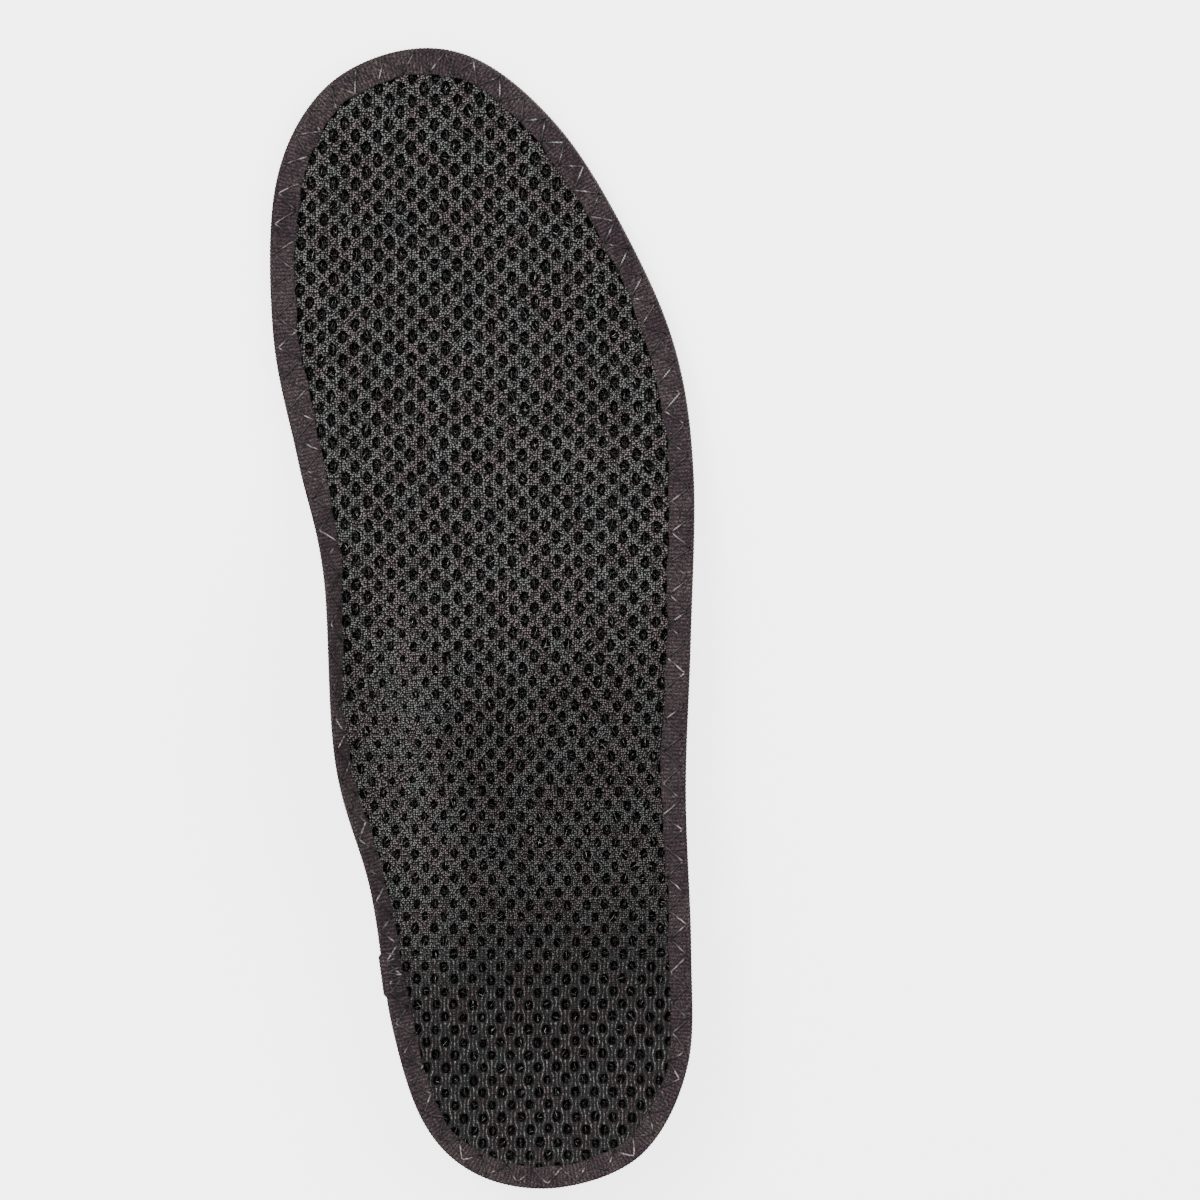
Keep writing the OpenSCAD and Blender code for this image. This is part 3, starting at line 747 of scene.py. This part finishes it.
def layer_loops(share, insets=LAYER_INSETS, spine_steps=SPINE_STEPS):
    """Loops of points of one surface of the laminate, from its edge in towards the middle line."""
    half = LAYER_STATIONS // 2
    s = np.concatenate([np.arange(half) / half * TOE_S, TOE_S + np.arange(half) / half * (PERIMETER - TOE_S)])
    loops = []
    for d in insets:
        p = edge_point(s, d)
        loops.append(on_layer(p, s, d, share))
    spine = np.column_stack([np.full(len(s), -1.5), np.clip(p[:, 1], HEEL_CENTRE_Y, TOE_CENTRE_Y)])
    for t in spine_steps:
        q = p + (spine - p) * t
        inner = insets[-1] + np.linalg.norm(q - p, axis=1)
        loops.append(on_layer(q, s, inner, share))
    return loops


def layer_solid(top_share, low_share):
    """Closed layer of the laminate, as points and faces."""
    loops = layer_loops(top_share)[::-1] + layer_loops(low_share)
    points = np.concatenate(loops)
    faces = [quad[::-1] for quad in grid_faces(len(loops), LAYER_STATIONS, wrap_cols=True)]
    faces += ring_caps(LAYER_STATIONS, 0, (len(loops) - 1) * LAYER_STATIONS)
    return points, faces


EMBOSS_PITCH = 6.7
EMBOSS_TURN = math.radians(6.5)
SOLE_GROUND = 0.82
# Heights over the sheet's ground of a triangle's shoulder and apex, and its inset from the grid's lines
RAISED, FLAT = (0.5, 0.88, 0.22), (0.22, 0.24, 0.12)


def inside(points, loop):
    """Whether points in plan lie inside a closed line."""
    x, y = points[:, 0][:, None], points[:, 1][:, None]
    x1, y1 = loop[:, 0][None], loop[:, 1][None]
    x2, y2 = np.roll(loop[:, 0], -1)[None], np.roll(loop[:, 1], -1)[None]
    spans = (y1 > y) != (y2 > y)
    cut = x1 + (y - y1) * (x2 - x1) / np.where(y2 == y1, 1e-9, y2 - y1)
    return ((spans & (x < cut)).sum(axis=1) % 2) == 1


def emboss_triangles():
    """Corners in plan of the raised triangles and the flat ones, which swap places from square to square."""
    across = np.array([math.cos(EMBOSS_TURN), math.sin(EMBOSS_TURN)])
    along = np.array([-math.sin(EMBOSS_TURN), math.cos(EMBOSS_TURN)])
    raised, flat = [], []
    for i in range(-12, 13):
        for j in range(-4, 42):
            centre = (across * i + along * j) * EMBOSS_PITCH + (2, 0)
            corners = [centre + (across * a + along * b) * EMBOSS_PITCH / 2
                       for a, b in ((-1, -1), (1, -1), (1, 1), (-1, 1))]
            pairs = [[[corners[a], corners[b], centre] for a, b in sides]
                     for sides in (((0, 1), (2, 3)), ((3, 0), (1, 2)))]
            raised += pairs[(i + j) % 2]
            flat += pairs[(i + j + 1) % 2]
    return np.array(raised), np.array(flat)


def clear_of_tape(d):
    """Share of their height that the pads keep at inset d from the edge."""
    return smoothstep(d, BAND_UNDER_W - 0.6, BAND_UNDER_W + 0.8)


def pads(corners, shoulder, apex, groove):
    """Closed low pads over triangles in plan, as points and faces."""
    middle = corners.mean(axis=1)
    _, d = locate(middle)
    hidden = inside(middle, SUPPORT_LINE * 0.97 + (0, 2))
    corners = corners[(d > 5.5) & ~hidden]
    sides = np.linalg.norm(np.roll(corners, -1, axis=1) - np.roll(corners, -2, axis=1), axis=2)[..., None]
    incentre = (corners * sides).sum(axis=1) / sides.sum(axis=1)
    inradius = EMBOSS_PITCH / 2 / (1 + math.sqrt(2))
    loops = []
    # A root inside the sheet, the foot, the shoulder, and a loop part of the way to the apex
    for inset, height in ((groove, -0.15), (groove, 0.02), (groove + 0.2, shoulder * 0.85),
                          (groove + 0.42, shoulder + (apex - shoulder) * 0.45)):
        flat = (incentre[:, None] + (corners - incentre[:, None]) * (1 - inset / inradius)).reshape(-1, 2)
        s, dd = locate(flat)
        loop = on_layer(flat, s, dd, SOLE_GROUND)
        loop[:, 2] -= height * (clear_of_tape(dd) if height > 0.1 else 1)
        loops.append(loop.reshape(-1, 3, 3))
    s, dd = locate(incentre)
    tip = on_layer(incentre, s, dd, SOLE_GROUND)
    tip[:, 2] -= apex * clear_of_tape(dd)
    points = np.concatenate([np.concatenate(loops, axis=1), tip[:, None]], axis=1).reshape(-1, 3)
    faces = []
    for a in range(0, len(points), 13):
        faces.append([a, a + 1, a + 2])
        for low in (0, 3, 6):
            faces += [[a + low + (e + 1) % 3, a + low + e, a + low + 3 + e, a + low + 3 + (e + 1) % 3]
                      for e in range(3)]
        faces += [[a + 9 + (e + 1) % 3, a + 9 + e, a + 12] for e in range(3)]
    return points, faces


def cushion_foam():
    points, faces = layer_solid(MESH_SHARE + 0.01, MESH_SHARE + FOAM_SHARE - 0.01)
    return mesh_object("cushion_foam", points, faces, [FOAM])


def base_sheet():
    """The sheet with its embossed triangles; only the raised ones are shaded smooth."""
    points, faces = layer_solid(MESH_SHARE + FOAM_SHARE, SOLE_GROUND)
    kinds, smooth_faces = [0] * len(faces), [True] * len(faces)
    for corners, (shoulder, apex, groove), kind in zip(emboss_triangles(), (RAISED, FLAT), (1, 0)):
        more, more_faces = pads(corners, shoulder, apex, groove)
        faces += [[k + len(points) for k in face] for face in more_faces]
        points = np.concatenate([points, more])
        kinds += [kind] * len(more_faces)
        smooth_faces += [bool(kind)] * len(more_faces)
    obj = mesh_object("base_sheet", points, faces, [EVA_ROUGH, EVA_SMOOTH], kinds)
    obj.data.polygons.foreach_set("use_smooth", smooth_faces)
    return obj


# ---- binding and stitches ----

RIB_PITCH = 0.85
RIB_STEPS = 4
RIB_HEIGHT = 0.055
ZIGZAGS = round(PERIMETER / ZIGZAG_PITCH)
STITCH_OUT = 1.0
STITCH_IN = BAND_TOP_W - 0.3
STITCH_IN_UNDER = BAND_TOP_W
UNDER_CLEAR = 0.42
THREAD_R = 0.17
# Length along the edge of a stroke of the closer stitches over the tape's end
RETURN_STEP = 1.1


def hem_share(s):
    """Share of its full width in plan that the tape's top keeps where the edge stands steeply."""
    y = periodic(s, EDGE[:, 1])
    slope = 2 * (rim(s) - smooth(y, CROWN_LINE)) / smooth(y, REACH_LINE)
    return 1 / np.sqrt(1 + slope ** 2)


def hem_inset(s, d, turn):
    """Inset of a place on the folded tape: its top is narrower where the edge stands steeply."""
    return d * hem_share(s) if turn > 0 and d > 1.2 else d


def tape_profile():
    """Outer line of the folded tape as (inset, turn), turn 90 its top, 0 its nose, -90 its underside."""
    top = [(d, 90) for d in (BAND_TOP_W, BAND_TOP_W - 0.25, 4.7, 3.9, 3.1, 2.3, 1.6)]
    nose = [(1 - math.cos(math.radians(a)), a) for a in (90, 65, 40, 15, -15, -40, -65, -90)]
    low = [(d, -90) for d in (1.6, 2.4, 3.2, 4.0, 4.8, 5.6, BAND_UNDER_W - 0.25, BAND_UNDER_W)]
    return top + nose + low


def tape_surface(s, d, turn, lift=0.0):
    """Points of the tape's outer face at inset d; lift pushes them off it."""
    p = edge_point(s, d)
    y = p[..., 1]
    high, low = top_z(s, d, y), under_z(s, d, y)
    middle, half = (high + low) / 2, (high - low) / 2
    rise = math.copysign(abs(math.sin(math.radians(turn))) ** 0.85, turn)
    z = middle + half * rise
    if turn < 0:
        z = np.maximum(z, UNDER_CLEAR * abs(math.sin(math.radians(turn))))
    out = np.asarray(lift * math.cos(math.radians(turn)))[..., None]
    p = p - out * np.stack([periodic(s, EDGE_IN[:, k]) for k in (0, 1)], axis=-1)
    return np.concatenate([p, (z + lift * math.sin(math.radians(turn)))[..., None]], axis=-1)


def stitch_dimples(s, d, inner):
    """Depth of the dimples that the zigzag's corners pull into the tape."""
    half = PERIMETER / (2 * ZIGZAGS)
    turn = np.round(s / half)
    depth = np.zeros_like(s)
    for step in (-1, 0, 1):
        k = turn + step
        corner = np.where(k % 2 == 0, inner, STITCH_OUT)
        depth = depth + 0.28 * np.exp(-((s - k * half) ** 2 + (d - corner) ** 2) / 0.75 ** 2)
    return depth


def edge_binding():
    """Ribbed tape folded round the whole edge, dimpled where the stitches pull it in."""
    count = int(round(PERIMETER / RIB_PITCH)) * RIB_STEPS
    s = np.arange(count) * PERIMETER / count
    rib = RIB_HEIGHT * np.cos(2 * math.pi * np.arange(count) / RIB_STEPS)
    waver = 0.2 * np.sin(s / 7.3) + 0.16 * np.sin(s / 3.1 + 1) + 0.1 * np.sin(s / 1.3)
    profile = tape_profile()

    def wavy_inset(d, turn):
        shift = waver * (1 if turn > 0 else -0.8) if d > 4.5 else 0
        return hem_inset(s, d, turn) + shift

    loops = []
    for k, (d, turn) in enumerate(profile):
        inner = STITCH_IN * hem_share(s) if turn > 0 else STITCH_IN_UNDER
        inset = wavy_inset(d, turn)
        dimple = stitch_dimples(s, inset, inner) if abs(turn) == 90 else 0
        lift = rib - dimple + 0.1 * np.sin(2 * math.pi * s / (PERIMETER / ZIGZAGS)) * (d > 4) * 0.6
        if k in (0, len(profile) - 1):
            lift = lift - 0.16
        loops.append(tape_surface(s, inset, turn, lift))
    inner_line = [(BAND_UNDER_W, -90), (3.5, -90), (1.2, -60), (1.2, 60), (3.0, 90), (BAND_TOP_W, 90)]
    for d, turn in inner_line:
        rows = tape_surface(s, wavy_inset(d, turn), turn)
        rows[:, 2] -= (TAPE_T - 0.08) * math.copysign(1, turn)
        loops.append(rows)
    points = np.stack(loops, axis=1).reshape(-1, 3)
    faces = grid_faces(count, len(loops), wrap_rows=True, wrap_cols=True)
    # The rib's phase, which the tape's material reads for its painted groove shade and crest highlight
    ribs = np.repeat(rib / RIB_HEIGHT * 0.5 + 0.5, len(loops)) * rng.uniform(0.75, 1, len(points))
    return mesh_object("edge_binding", points, faces, [TAPE], attributes={"rib": ribs})


def lap_range():
    """Where the tape's end starts and stops, as lengths along the edge."""
    start = np.interp(TAPE_END_Y, EDGE[:EDGE_COUNT // 3, 1], EDGE_S[:EDGE_COUNT // 3])
    return start, start + TAPE_END_LEN


LAP_START, LAP_END = lap_range()
LAP_T = 0.45


def lap_lift(s):
    """Thickness of the tape's end under the stitches that cross it."""
    rise = smoothstep(s, LAP_START - 0.5, LAP_START + 0.3)
    return LAP_T * rise * (1 - smoothstep(s, LAP_END - 0.3, LAP_END + 0.5))


def binding_tape_end():
    """The tape's cut end, lapped over its own start on the inner side of the heel."""
    count = 60
    s = np.linspace(LAP_START, LAP_END, count)
    profile = [(d, turn) for d, turn in tape_profile() if turn > -30 and d < BAND_TOP_W - 0.1]
    frayed = rng.normal(0, 0.12, len(profile))
    ends = smoothstep(s, LAP_START, LAP_START + 0.5) * (1 - smoothstep(s, LAP_END - 0.5, LAP_END))
    rib = RIB_HEIGHT * np.cos(2 * math.pi * s / RIB_PITCH)
    outer, inner = [], []
    for k, (d, turn) in enumerate(profile):
        slip = frayed[k] * (2 * (s - LAP_START) / TAPE_END_LEN - 1)
        thick = LAP_T * (0.45 + 0.55 * ends)
        inset = hem_inset(s, d, turn)
        for loop, lift in ((outer, 0.06 + thick + rib), (inner, np.full(count, 0.03))):
            loop.append(tape_surface(s + slip, inset, turn, lift))
    loops = outer + inner[::-1]
    points = np.stack(loops, axis=1).reshape(-1, 3)
    faces = grid_faces(count, len(loops), wrap_cols=True)
    faces += end_faces(count, len(loops))
    # The rib's phase, which the tape's material reads for its painted groove shade and crest highlight
    ribs = np.repeat(rib / RIB_HEIGHT * 0.5 + 0.5, len(loops))
    return mesh_object("binding_tape_end", points, faces, [TAPE], attributes={"rib": ribs})


def stitch_paths(turn, inner, s0, d0, s1, d1):
    """Strokes from hole to hole over the tape: each dives in at both ends and arches between them."""
    t = np.linspace(0, 1, 9)[None]
    s = s0[:, None] + (s1 - s0)[:, None] * t
    d = d0[:, None] + (d1 - d0)[:, None] * t
    if turn > 0:
        d = STITCH_OUT + (d - STITCH_OUT) * (hem_share(s) * inner - STITCH_OUT) / (inner - STITCH_OUT)
    path = tape_surface(s, d, turn)
    arch = 0.2 - 0.62 * (2 * np.abs(t - 0.5)) ** 6
    path[..., 2] += math.copysign(1, turn) * (arch + (lap_lift(s) if turn > 0 else 0))
    return path


def zigzag(name, turn, inner):
    """One of the two zigzag threads, as separate strokes with slightly uneven ends."""
    k = np.arange(2 * ZIGZAGS)
    half = PERIMETER / (2 * ZIGZAGS)
    even = k % 2 == 0
    start_d = np.where(even, inner, STITCH_OUT)
    jitter = rng.normal(0, 0.12, (2, 2 * ZIGZAGS))
    s_corner = k * half + jitter[0]
    s_next = np.append(s_corner[1:], s_corner[0] + PERIMETER)
    d_corner = start_d + jitter[1]
    d_next = np.append(d_corner[1:], d_corner[0])
    paths = stitch_paths(turn, inner, s_corner, d_corner, s_next, d_next)
    if turn > 0:
        # The needle goes over the tape's end a second time, in closer strokes
        s0 = np.arange(LAP_START - 0.5, LAP_END, RETURN_STEP)
        way = np.arange(len(s0)) % 2 == 0
        d0, d1 = np.where(way, inner, STITCH_OUT), np.where(way, STITCH_OUT, inner)
        paths = np.concatenate([paths, stitch_paths(turn, inner, s0, d0, s0 + RETURN_STEP, d1)])
    points, faces = tubes(paths, THREAD_R)
    return mesh_object(name, points, faces, [THREAD])


# ---- support base and heel plug ----

SUPPORT_GAP = 0.12
WALL_SLOPE = 0.7
PLUG_D, PLUG_T, PLUG_SEAT_GAP = 27, 3.4, 0.15
PLUG_CENTRE = (0, HEEL_CENTRE_Y)
PANEL_SIZE, PANEL_ROUND, PANEL_DEPTH = (11, 19.5), 2, 0.5
PANEL_CENTRE, PANEL_TURN = (-5, 139), math.radians(-3)
BAR_SIZE, BAR_ROUND, BAR_PITCH = (5.4, 2.2), 0.8, 4.8


def pebbles(points, size, seed):
    """Leather grain: near 1 on each pebble and 0 in the creases between them."""
    table = np.random.default_rng(seed).random((64, 64, 2))
    warp = 0.35 * np.sin(points[:, ::-1] / (size * 1.7) + 2 * np.sin(points / (size * 3.1)))
    q = points / size + warp
    distances = []
    for step in np.ndindex(3, 3):
        cell = np.floor(q).astype(int) + step - 1
        distances.append(np.linalg.norm(q - (cell + table[cell[:, 0] % 64, cell[:, 1] % 64]), axis=1))
    nearest = np.sort(distances, axis=0)
    return smoothstep(nearest[1] - nearest[0], 0.0, 0.35)


def under_sheet(p, gap):
    """Points in plan placed a gap under the base sheet."""
    p = on_layer(p, *locate(p), SOLE_GROUND)
    p[:, 2] -= gap
    return p


def leather_relief(points):
    """How far the grain's creases and the skin's folds lie inside the moulding's plain surface."""
    c, n = math.cos(GRAIN_TURN), math.sin(GRAIN_TURN)
    turned = points[:, :2] @ np.array([[c, -n], [n, c]])
    grain = pebbles(turned / (GRAIN_STRETCH, 1), 2.2, 7)
    fold = np.sin(points[:, 0] * 0.9 + 2 * np.sin(points[:, 1] * 0.21)) * 0.02
    return 0.07 * (1 - grain) + np.abs(fold)


def support_mesh():
    """The moulding as loops: over its top, down its rounded wall and across the grained sole."""
    line, _ = evenly(SUPPORT_LINE, 720)
    inward = square_in(line)
    height = under_sheet(line, SUPPORT_GAP)[:, 2]
    spine = np.column_stack([np.full(len(line), -1.0), np.clip(line[:, 1], HEEL_CENTRE_Y, 138)])
    loops = []
    for t in (0.9, 0.6, 0.3):
        p = line + 9 * inward
        loops.append(under_sheet(p + (spine - p) * t, SUPPORT_GAP))
    for inset in (9, 5, 2, 0.35):
        loops.append(under_sheet(line + inset * inward, SUPPORT_GAP + (0 if inset > 1 else 0.05)))
    loops.append(np.column_stack([line, height - 0.35]))
    wall_start = len(loops) * len(line)
    for t in np.linspace(0.03, 1, 18) ** 1.3:
        q = line + (t * WALL_SLOPE * height)[:, None] * inward
        loops.append(np.column_stack([q, (height - 0.35) * (1 - np.sqrt(1 - (1 - t) ** 2))]))
    foot = loops[-1][:, :2]
    for t in np.linspace(0.02, 0.97, 44):
        q = foot + (spine - foot) * t
        loops.append(np.column_stack([q, np.zeros(len(q))]))
    points = np.concatenate(loops)
    # The relief fades in over the wall's first three loops
    fade = smoothstep(np.arange(len(points)), wall_start, wall_start + 3 * len(line))
    points[:, 2] += leather_relief(points) * fade
    faces = [quad[::-1] for quad in grid_faces(len(loops), len(line), wrap_cols=True)]
    faces += ring_caps(len(line), 0, (len(loops) - 1) * len(line))
    return points, faces


def prism(name, outline, low, high):
    """Closed prism over an outline in plan, as a cutter or a small part."""
    outline = np.asarray(outline, float)
    n = len(outline)
    points = np.concatenate([np.column_stack([outline, np.full(n, z)]) for z in (low, high)])
    faces = [quad[::-1] for quad in grid_faces(2, n, wrap_cols=True)]
    faces += [list(range(n))[::-1], list(range(n, 2 * n))]
    return mesh_object(name, points, faces, [MOULDING], flat=True)


def rounded_box(size, radius, steps=8):
    """Outline of a rectangle with round corners, counter-clockwise about the origin."""
    found = []
    for k, (a, b) in enumerate(((1, 1), (-1, 1), (-1, -1), (1, -1))):
        centre = np.array([a * (size[0] / 2 - radius), b * (size[1] / 2 - radius)])
        for t in np.linspace(0, math.pi / 2, steps):
            angle = k * math.pi / 2 + t
            found.append(centre + radius * np.array([math.cos(angle), math.sin(angle)]))
    return np.array(found)


def panel_place(outline):
    """An outline about the origin, turned and moved to the panel."""
    c, s = math.cos(PANEL_TURN), math.sin(PANEL_TURN)
    return np.asarray(outline) @ np.array([[c, s], [-s, c]]) + PANEL_CENTRE


def circle(radius, count, centre=(0, 0)):
    turn = np.arange(count) * 2 * math.pi / count
    return np.stack([np.cos(turn), np.sin(turn)], axis=1) * radius + centre


def cut(obj, cutter):
    """Takes the cutter's volume out of obj and removes the cutter."""
    modifier = obj.modifiers.new("cut", "BOOLEAN")
    modifier.operation, modifier.solver, modifier.object = "DIFFERENCE", "EXACT", cutter
    bpy.context.view_layer.objects.active = obj
    with bpy.context.temp_override(object=obj, active_object=obj):
        bpy.ops.object.modifier_apply(modifier=modifier.name)
    bpy.data.objects.remove(cutter)


def swept_loop(outline, section):
    """Closed moulding that follows an outline; section holds (outward offset, height) pairs."""
    n = len(outline)
    run = np.roll(outline, -1, axis=0) - np.roll(outline, 1, axis=0)
    out = np.stack([run[:, 1], -run[:, 0]], axis=1) / np.linalg.norm(run, axis=1)[:, None]
    rows = [np.column_stack([outline + o * out, np.full(n, z)]) for o, z in section]
    return np.stack(rows, axis=1).reshape(-1, 3), grid_faces(n, len(section), wrap_rows=True, wrap_cols=True)


def join(name, parts):
    """One object from several, keeping their materials."""
    with bpy.context.temp_override(active_object=parts[0], selected_editable_objects=parts):
        bpy.ops.object.join()
    parts[0].name = name
    return parts[0]


def bead(name, outline, half, crest, foot):
    """Low round bead along an outline on the panel's floor."""
    section = [(-half, PANEL_DEPTH + 0.1), (-half + 0.04, foot), (0, crest), (half - 0.04, foot),
               (half, PANEL_DEPTH + 0.1)]
    points, faces = swept_loop(panel_place(outline), section)
    return mesh_object(name, points, faces, [MOULDING])


def support_base():
    """The moulding with the plug's seat, and its panel with a lip and three plain index bars."""
    points, faces = support_mesh()
    body = mesh_object("support_base_body", points, faces, [LEATHER, MOULDING])
    seat = circle(PLUG_D / 2 + PLUG_SEAT_GAP, 128, PLUG_CENTRE)
    cut(body, prism("seat_cutter", seat, -2, PLUG_T + 0.2))
    cut(body, prism("panel_cutter", panel_place(rounded_box(PANEL_SIZE, PANEL_ROUND)), -2, PANEL_DEPTH))
    line = rounded_box((PANEL_SIZE[0] - 1.3, PANEL_SIZE[1] - 1.3), PANEL_ROUND - 0.5)
    parts = [body, bead("panel_lip", line, 0.22, 0.22, 0.3)]
    for k in (-1, 0, 1):
        bar = rounded_box(BAR_SIZE, BAR_ROUND) + (0, BAR_PITCH * k)
        parts.append(bead("index_bar", bar, 0.2, 0.16, 0.24))
    return join("support_base", parts)


# Radius and height along the plug's surface, from its top over the rim to the edge of its floor
PLUG_RIM = [
    (11.5, PLUG_T), (13.2, PLUG_T), (13.45, PLUG_T - 0.25), (13.5, 2.0), (13.5, 0.45), (13.42, 0.22),
    (13.2, 0.1), (12.95, 0.1), (12.7, 0.16), (12.45, 0.42), (12.1, 0.85), (11.85, 0.98), (11.4, 1.02),
]
NOTCH_ANGLE = math.radians(27)
DOT_RING_R, DOT_R, DOTS = 6.7, 2.05, 5


def plug_relief(x, y):
    """Height of the plug's floor: five faint round dots and one long dimple near the rim."""
    z = np.full_like(x, 1.05)
    for k in range(DOTS):
        angle = NOTCH_ANGLE + math.radians(12) + k * 2 * math.pi / DOTS
        r = np.hypot(x - DOT_RING_R * math.cos(angle), y - DOT_RING_R * math.sin(angle))
        z -= 0.3 * (1 - smoothstep(r, DOT_R - 0.22, DOT_R)) * smoothstep(r, DOT_R - 0.7, DOT_R - 0.3)
        z -= 0.1 * (1 - smoothstep(r, DOT_R - 0.5, DOT_R - 0.2))
    along = x * math.cos(NOTCH_ANGLE) + y * math.sin(NOTCH_ANGLE) - 10.2
    across = -x * math.sin(NOTCH_ANGLE) + y * math.cos(NOTCH_ANGLE)
    z += 1.1 * np.clip(1 - (along / 1.05) ** 2 - (across / 2.4) ** 2, 0, 1) ** 0.4
    return z


def heel_plug():
    """Dished white disc with a raised rim, turned about its middle, with relief on its floor."""
    sides = 160
    turn = np.arange(sides) * 2 * math.pi / sides
    floor = [(r, None) for r in np.linspace(11.2, 0.15, 48)]
    loops = []
    for r, z in PLUG_RIM + floor:
        x, y = r * np.cos(turn), r * np.sin(turn)
        height = plug_relief(x, y) if z is None else np.full(sides, float(z))
        loops.append(np.column_stack([x + PLUG_CENTRE[0], y + PLUG_CENTRE[1], height]))
    points = np.concatenate(loops)
    faces = grid_faces(len(loops), sides, wrap_cols=True) + end_faces(len(loops), sides)
    return mesh_object("heel_plug_visual", points, faces, [WHITE])


# ---- assembly ----


def fix_normals(obj):
    """Turns every face of a closed piece outwards."""
    work = bmesh.new()
    work.from_mesh(obj.data)
    bmesh.ops.recalc_face_normals(work, faces=work.faces)
    work.to_mesh(obj.data)
    work.free()


def bends(obj):
    """Bakes a piece's placement into its mesh."""
    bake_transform(obj)


def skin_area():
    """Area in square metres of the laminate's surface between mesh and foam, which is also its flat area."""
    loops = np.stack(layer_loops(MESH_SHARE, [0.0] + LAYER_INSETS, SPINE_STEPS + [1.0]))
    a, b = loops[:-1], loops[1:]
    c, d = np.roll(b, -1, axis=1), np.roll(a, -1, axis=1)
    return np.linalg.norm(np.cross(c - a, d - b), axis=2).sum() / 2 * MM ** 2


def assemble():
    """Builds every piece, hides the CAD nodes it stands for, and fixes the whole pieces to the heel section.
    """
    cover, filaments = mesh_cover()
    foam, sole = cushion_foam(), base_sheet()
    # Each of these is one piece, and two nodes in the CAD model
    split = [
        (cover, "mesh_cover"), (foam, "cushion_foam"), (sole, "base_sheet"), (edge_binding(), "edge_binding"),
        (zigzag("needle_thread", 90, STITCH_IN), "thread"),
        (zigzag("bobbin_thread", -90, STITCH_IN_UNDER), "thread"),
    ]
    for obj, slot in split:
        fix_normals(obj)
        bends(obj)
        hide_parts(obj.name + "_rear", obj.name + "_front")
    bends(filaments)
    area = skin_area()
    whole = {
        "binding_tape_end": (binding_tape_end(), "edge_binding"),
        "support_base": (support_base(), "support_base"),
        "heel_plug": (heel_plug(), "heel_plug"),
    }
    for name, (obj, slot) in whole.items():
        fix_normals(obj)
        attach(obj, REAR)
        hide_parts(name)
        obj.name = name + "_looks"


# ---- stage ----

VIEW_TURN = math.radians(6.1)
VIEW_CENTRE = Vector((0.02046, 0.001, 0.008))
VIEW_WIDTH = 0.2595
CAMERA_HEIGHT = 2.5


def floor():
    """A large sheet of white paper, clear from below."""
    size = 8
    mesh = bpy.data.meshes.new("floor")
    corners = [(-size, -size, 0), (size, -size, 0), (size, size, 0), (-size, size, 0)]
    mesh.from_pydata(corners, [], [(0, 1, 2, 3)])
    material, tree, shader = new_material("floor_paper", (0.9, 0.9, 0.9), 0.9, Specular_IOR_Level=0.1,
                                          Emission_Color=(1, 1, 1, 1), Emission_Strength=3.0)
    paint(tree, shader, grey(tree, noise(tree, 0.2), [(0.3, 0.9), (0.7, 0.92)]))
    # Seen from below, the floor lets the light and the view through
    back = add(tree, "ShaderNodeNewGeometry").outputs["Backfacing"]
    clear = add(tree, "ShaderNodeBsdfTransparent").outputs[0]
    both = add(tree, "ShaderNodeMixShader", {0: back})
    tree.links.new(shader.outputs[0], both.inputs[1])
    tree.links.new(clear, both.inputs[2])
    tree.links.new(both.outputs[0], tree.nodes["Material Output"].inputs["Surface"])
    mesh.materials.append(material)
    obj = new_object("floor", mesh)
    # The underside is lit through the floor, so only the camera's own rays meet it
    obj.visible_shadow = obj.visible_diffuse = obj.visible_glossy = obj.visible_transmission = False


def soft_light(name, place_at, size, power):
    """A square area light that faces the origin."""
    light = bpy.data.lights.new(name, "AREA")
    light.shape = "SQUARE"
    light.size = size
    light.energy = power
    obj = new_object(name, light)
    obj.location = place_at
    obj.rotation_euler = (-Vector(place_at)).to_track_quat("-Z", "Y").to_euler()


def camera():
    """A long lens straight above the insole."""
    data = bpy.data.cameras.new("camera")
    data.sensor_width = 36
    data.lens = data.sensor_width * CAMERA_HEIGHT / VIEW_WIDTH
    data.clip_end = 100
    obj = new_object("camera", data)
    obj.location = VIEW_CENTRE + Vector((0, 0, CAMERA_HEIGHT))
    obj.rotation_euler = (0, 0, -VIEW_TURN)
    bpy.context.scene.camera = obj


def stage():
    """The floor, three soft lights, a white surround and the camera."""
    floor()
    soft_light("key", (-0.9, 0.9, 1.5), 0.9, 42)
    soft_light("fill", (1.1, 0.2, 1.3), 1.2, 14)
    soft_light("under", (0.95, 0.75, -0.75), 0.7, 52)
    world = bpy.data.worlds.new("studio")
    world.use_nodes = True
    tree = world.node_tree
    # Bright all round above the floor, and dim below it, where the under light shapes the relief
    height = add(tree, "ShaderNodeSeparateXYZ", {0: add(tree, "ShaderNodeTexCoord").outputs["Generated"]})
    tone = grey(tree, maths(tree, "ADD", maths(tree, "MULTIPLY", height.outputs["Z"], 0.5), 0.5),
                [(0.0, 0.22), (0.38, 0.3), (0.5, 1.0)])
    tree.links.new(tone, tree.nodes["Background"].inputs["Color"])
    tree.nodes["Background"].inputs["Strength"].default_value = 1.15
    bpy.context.scene.world = world
    camera()


assemble()
stage()
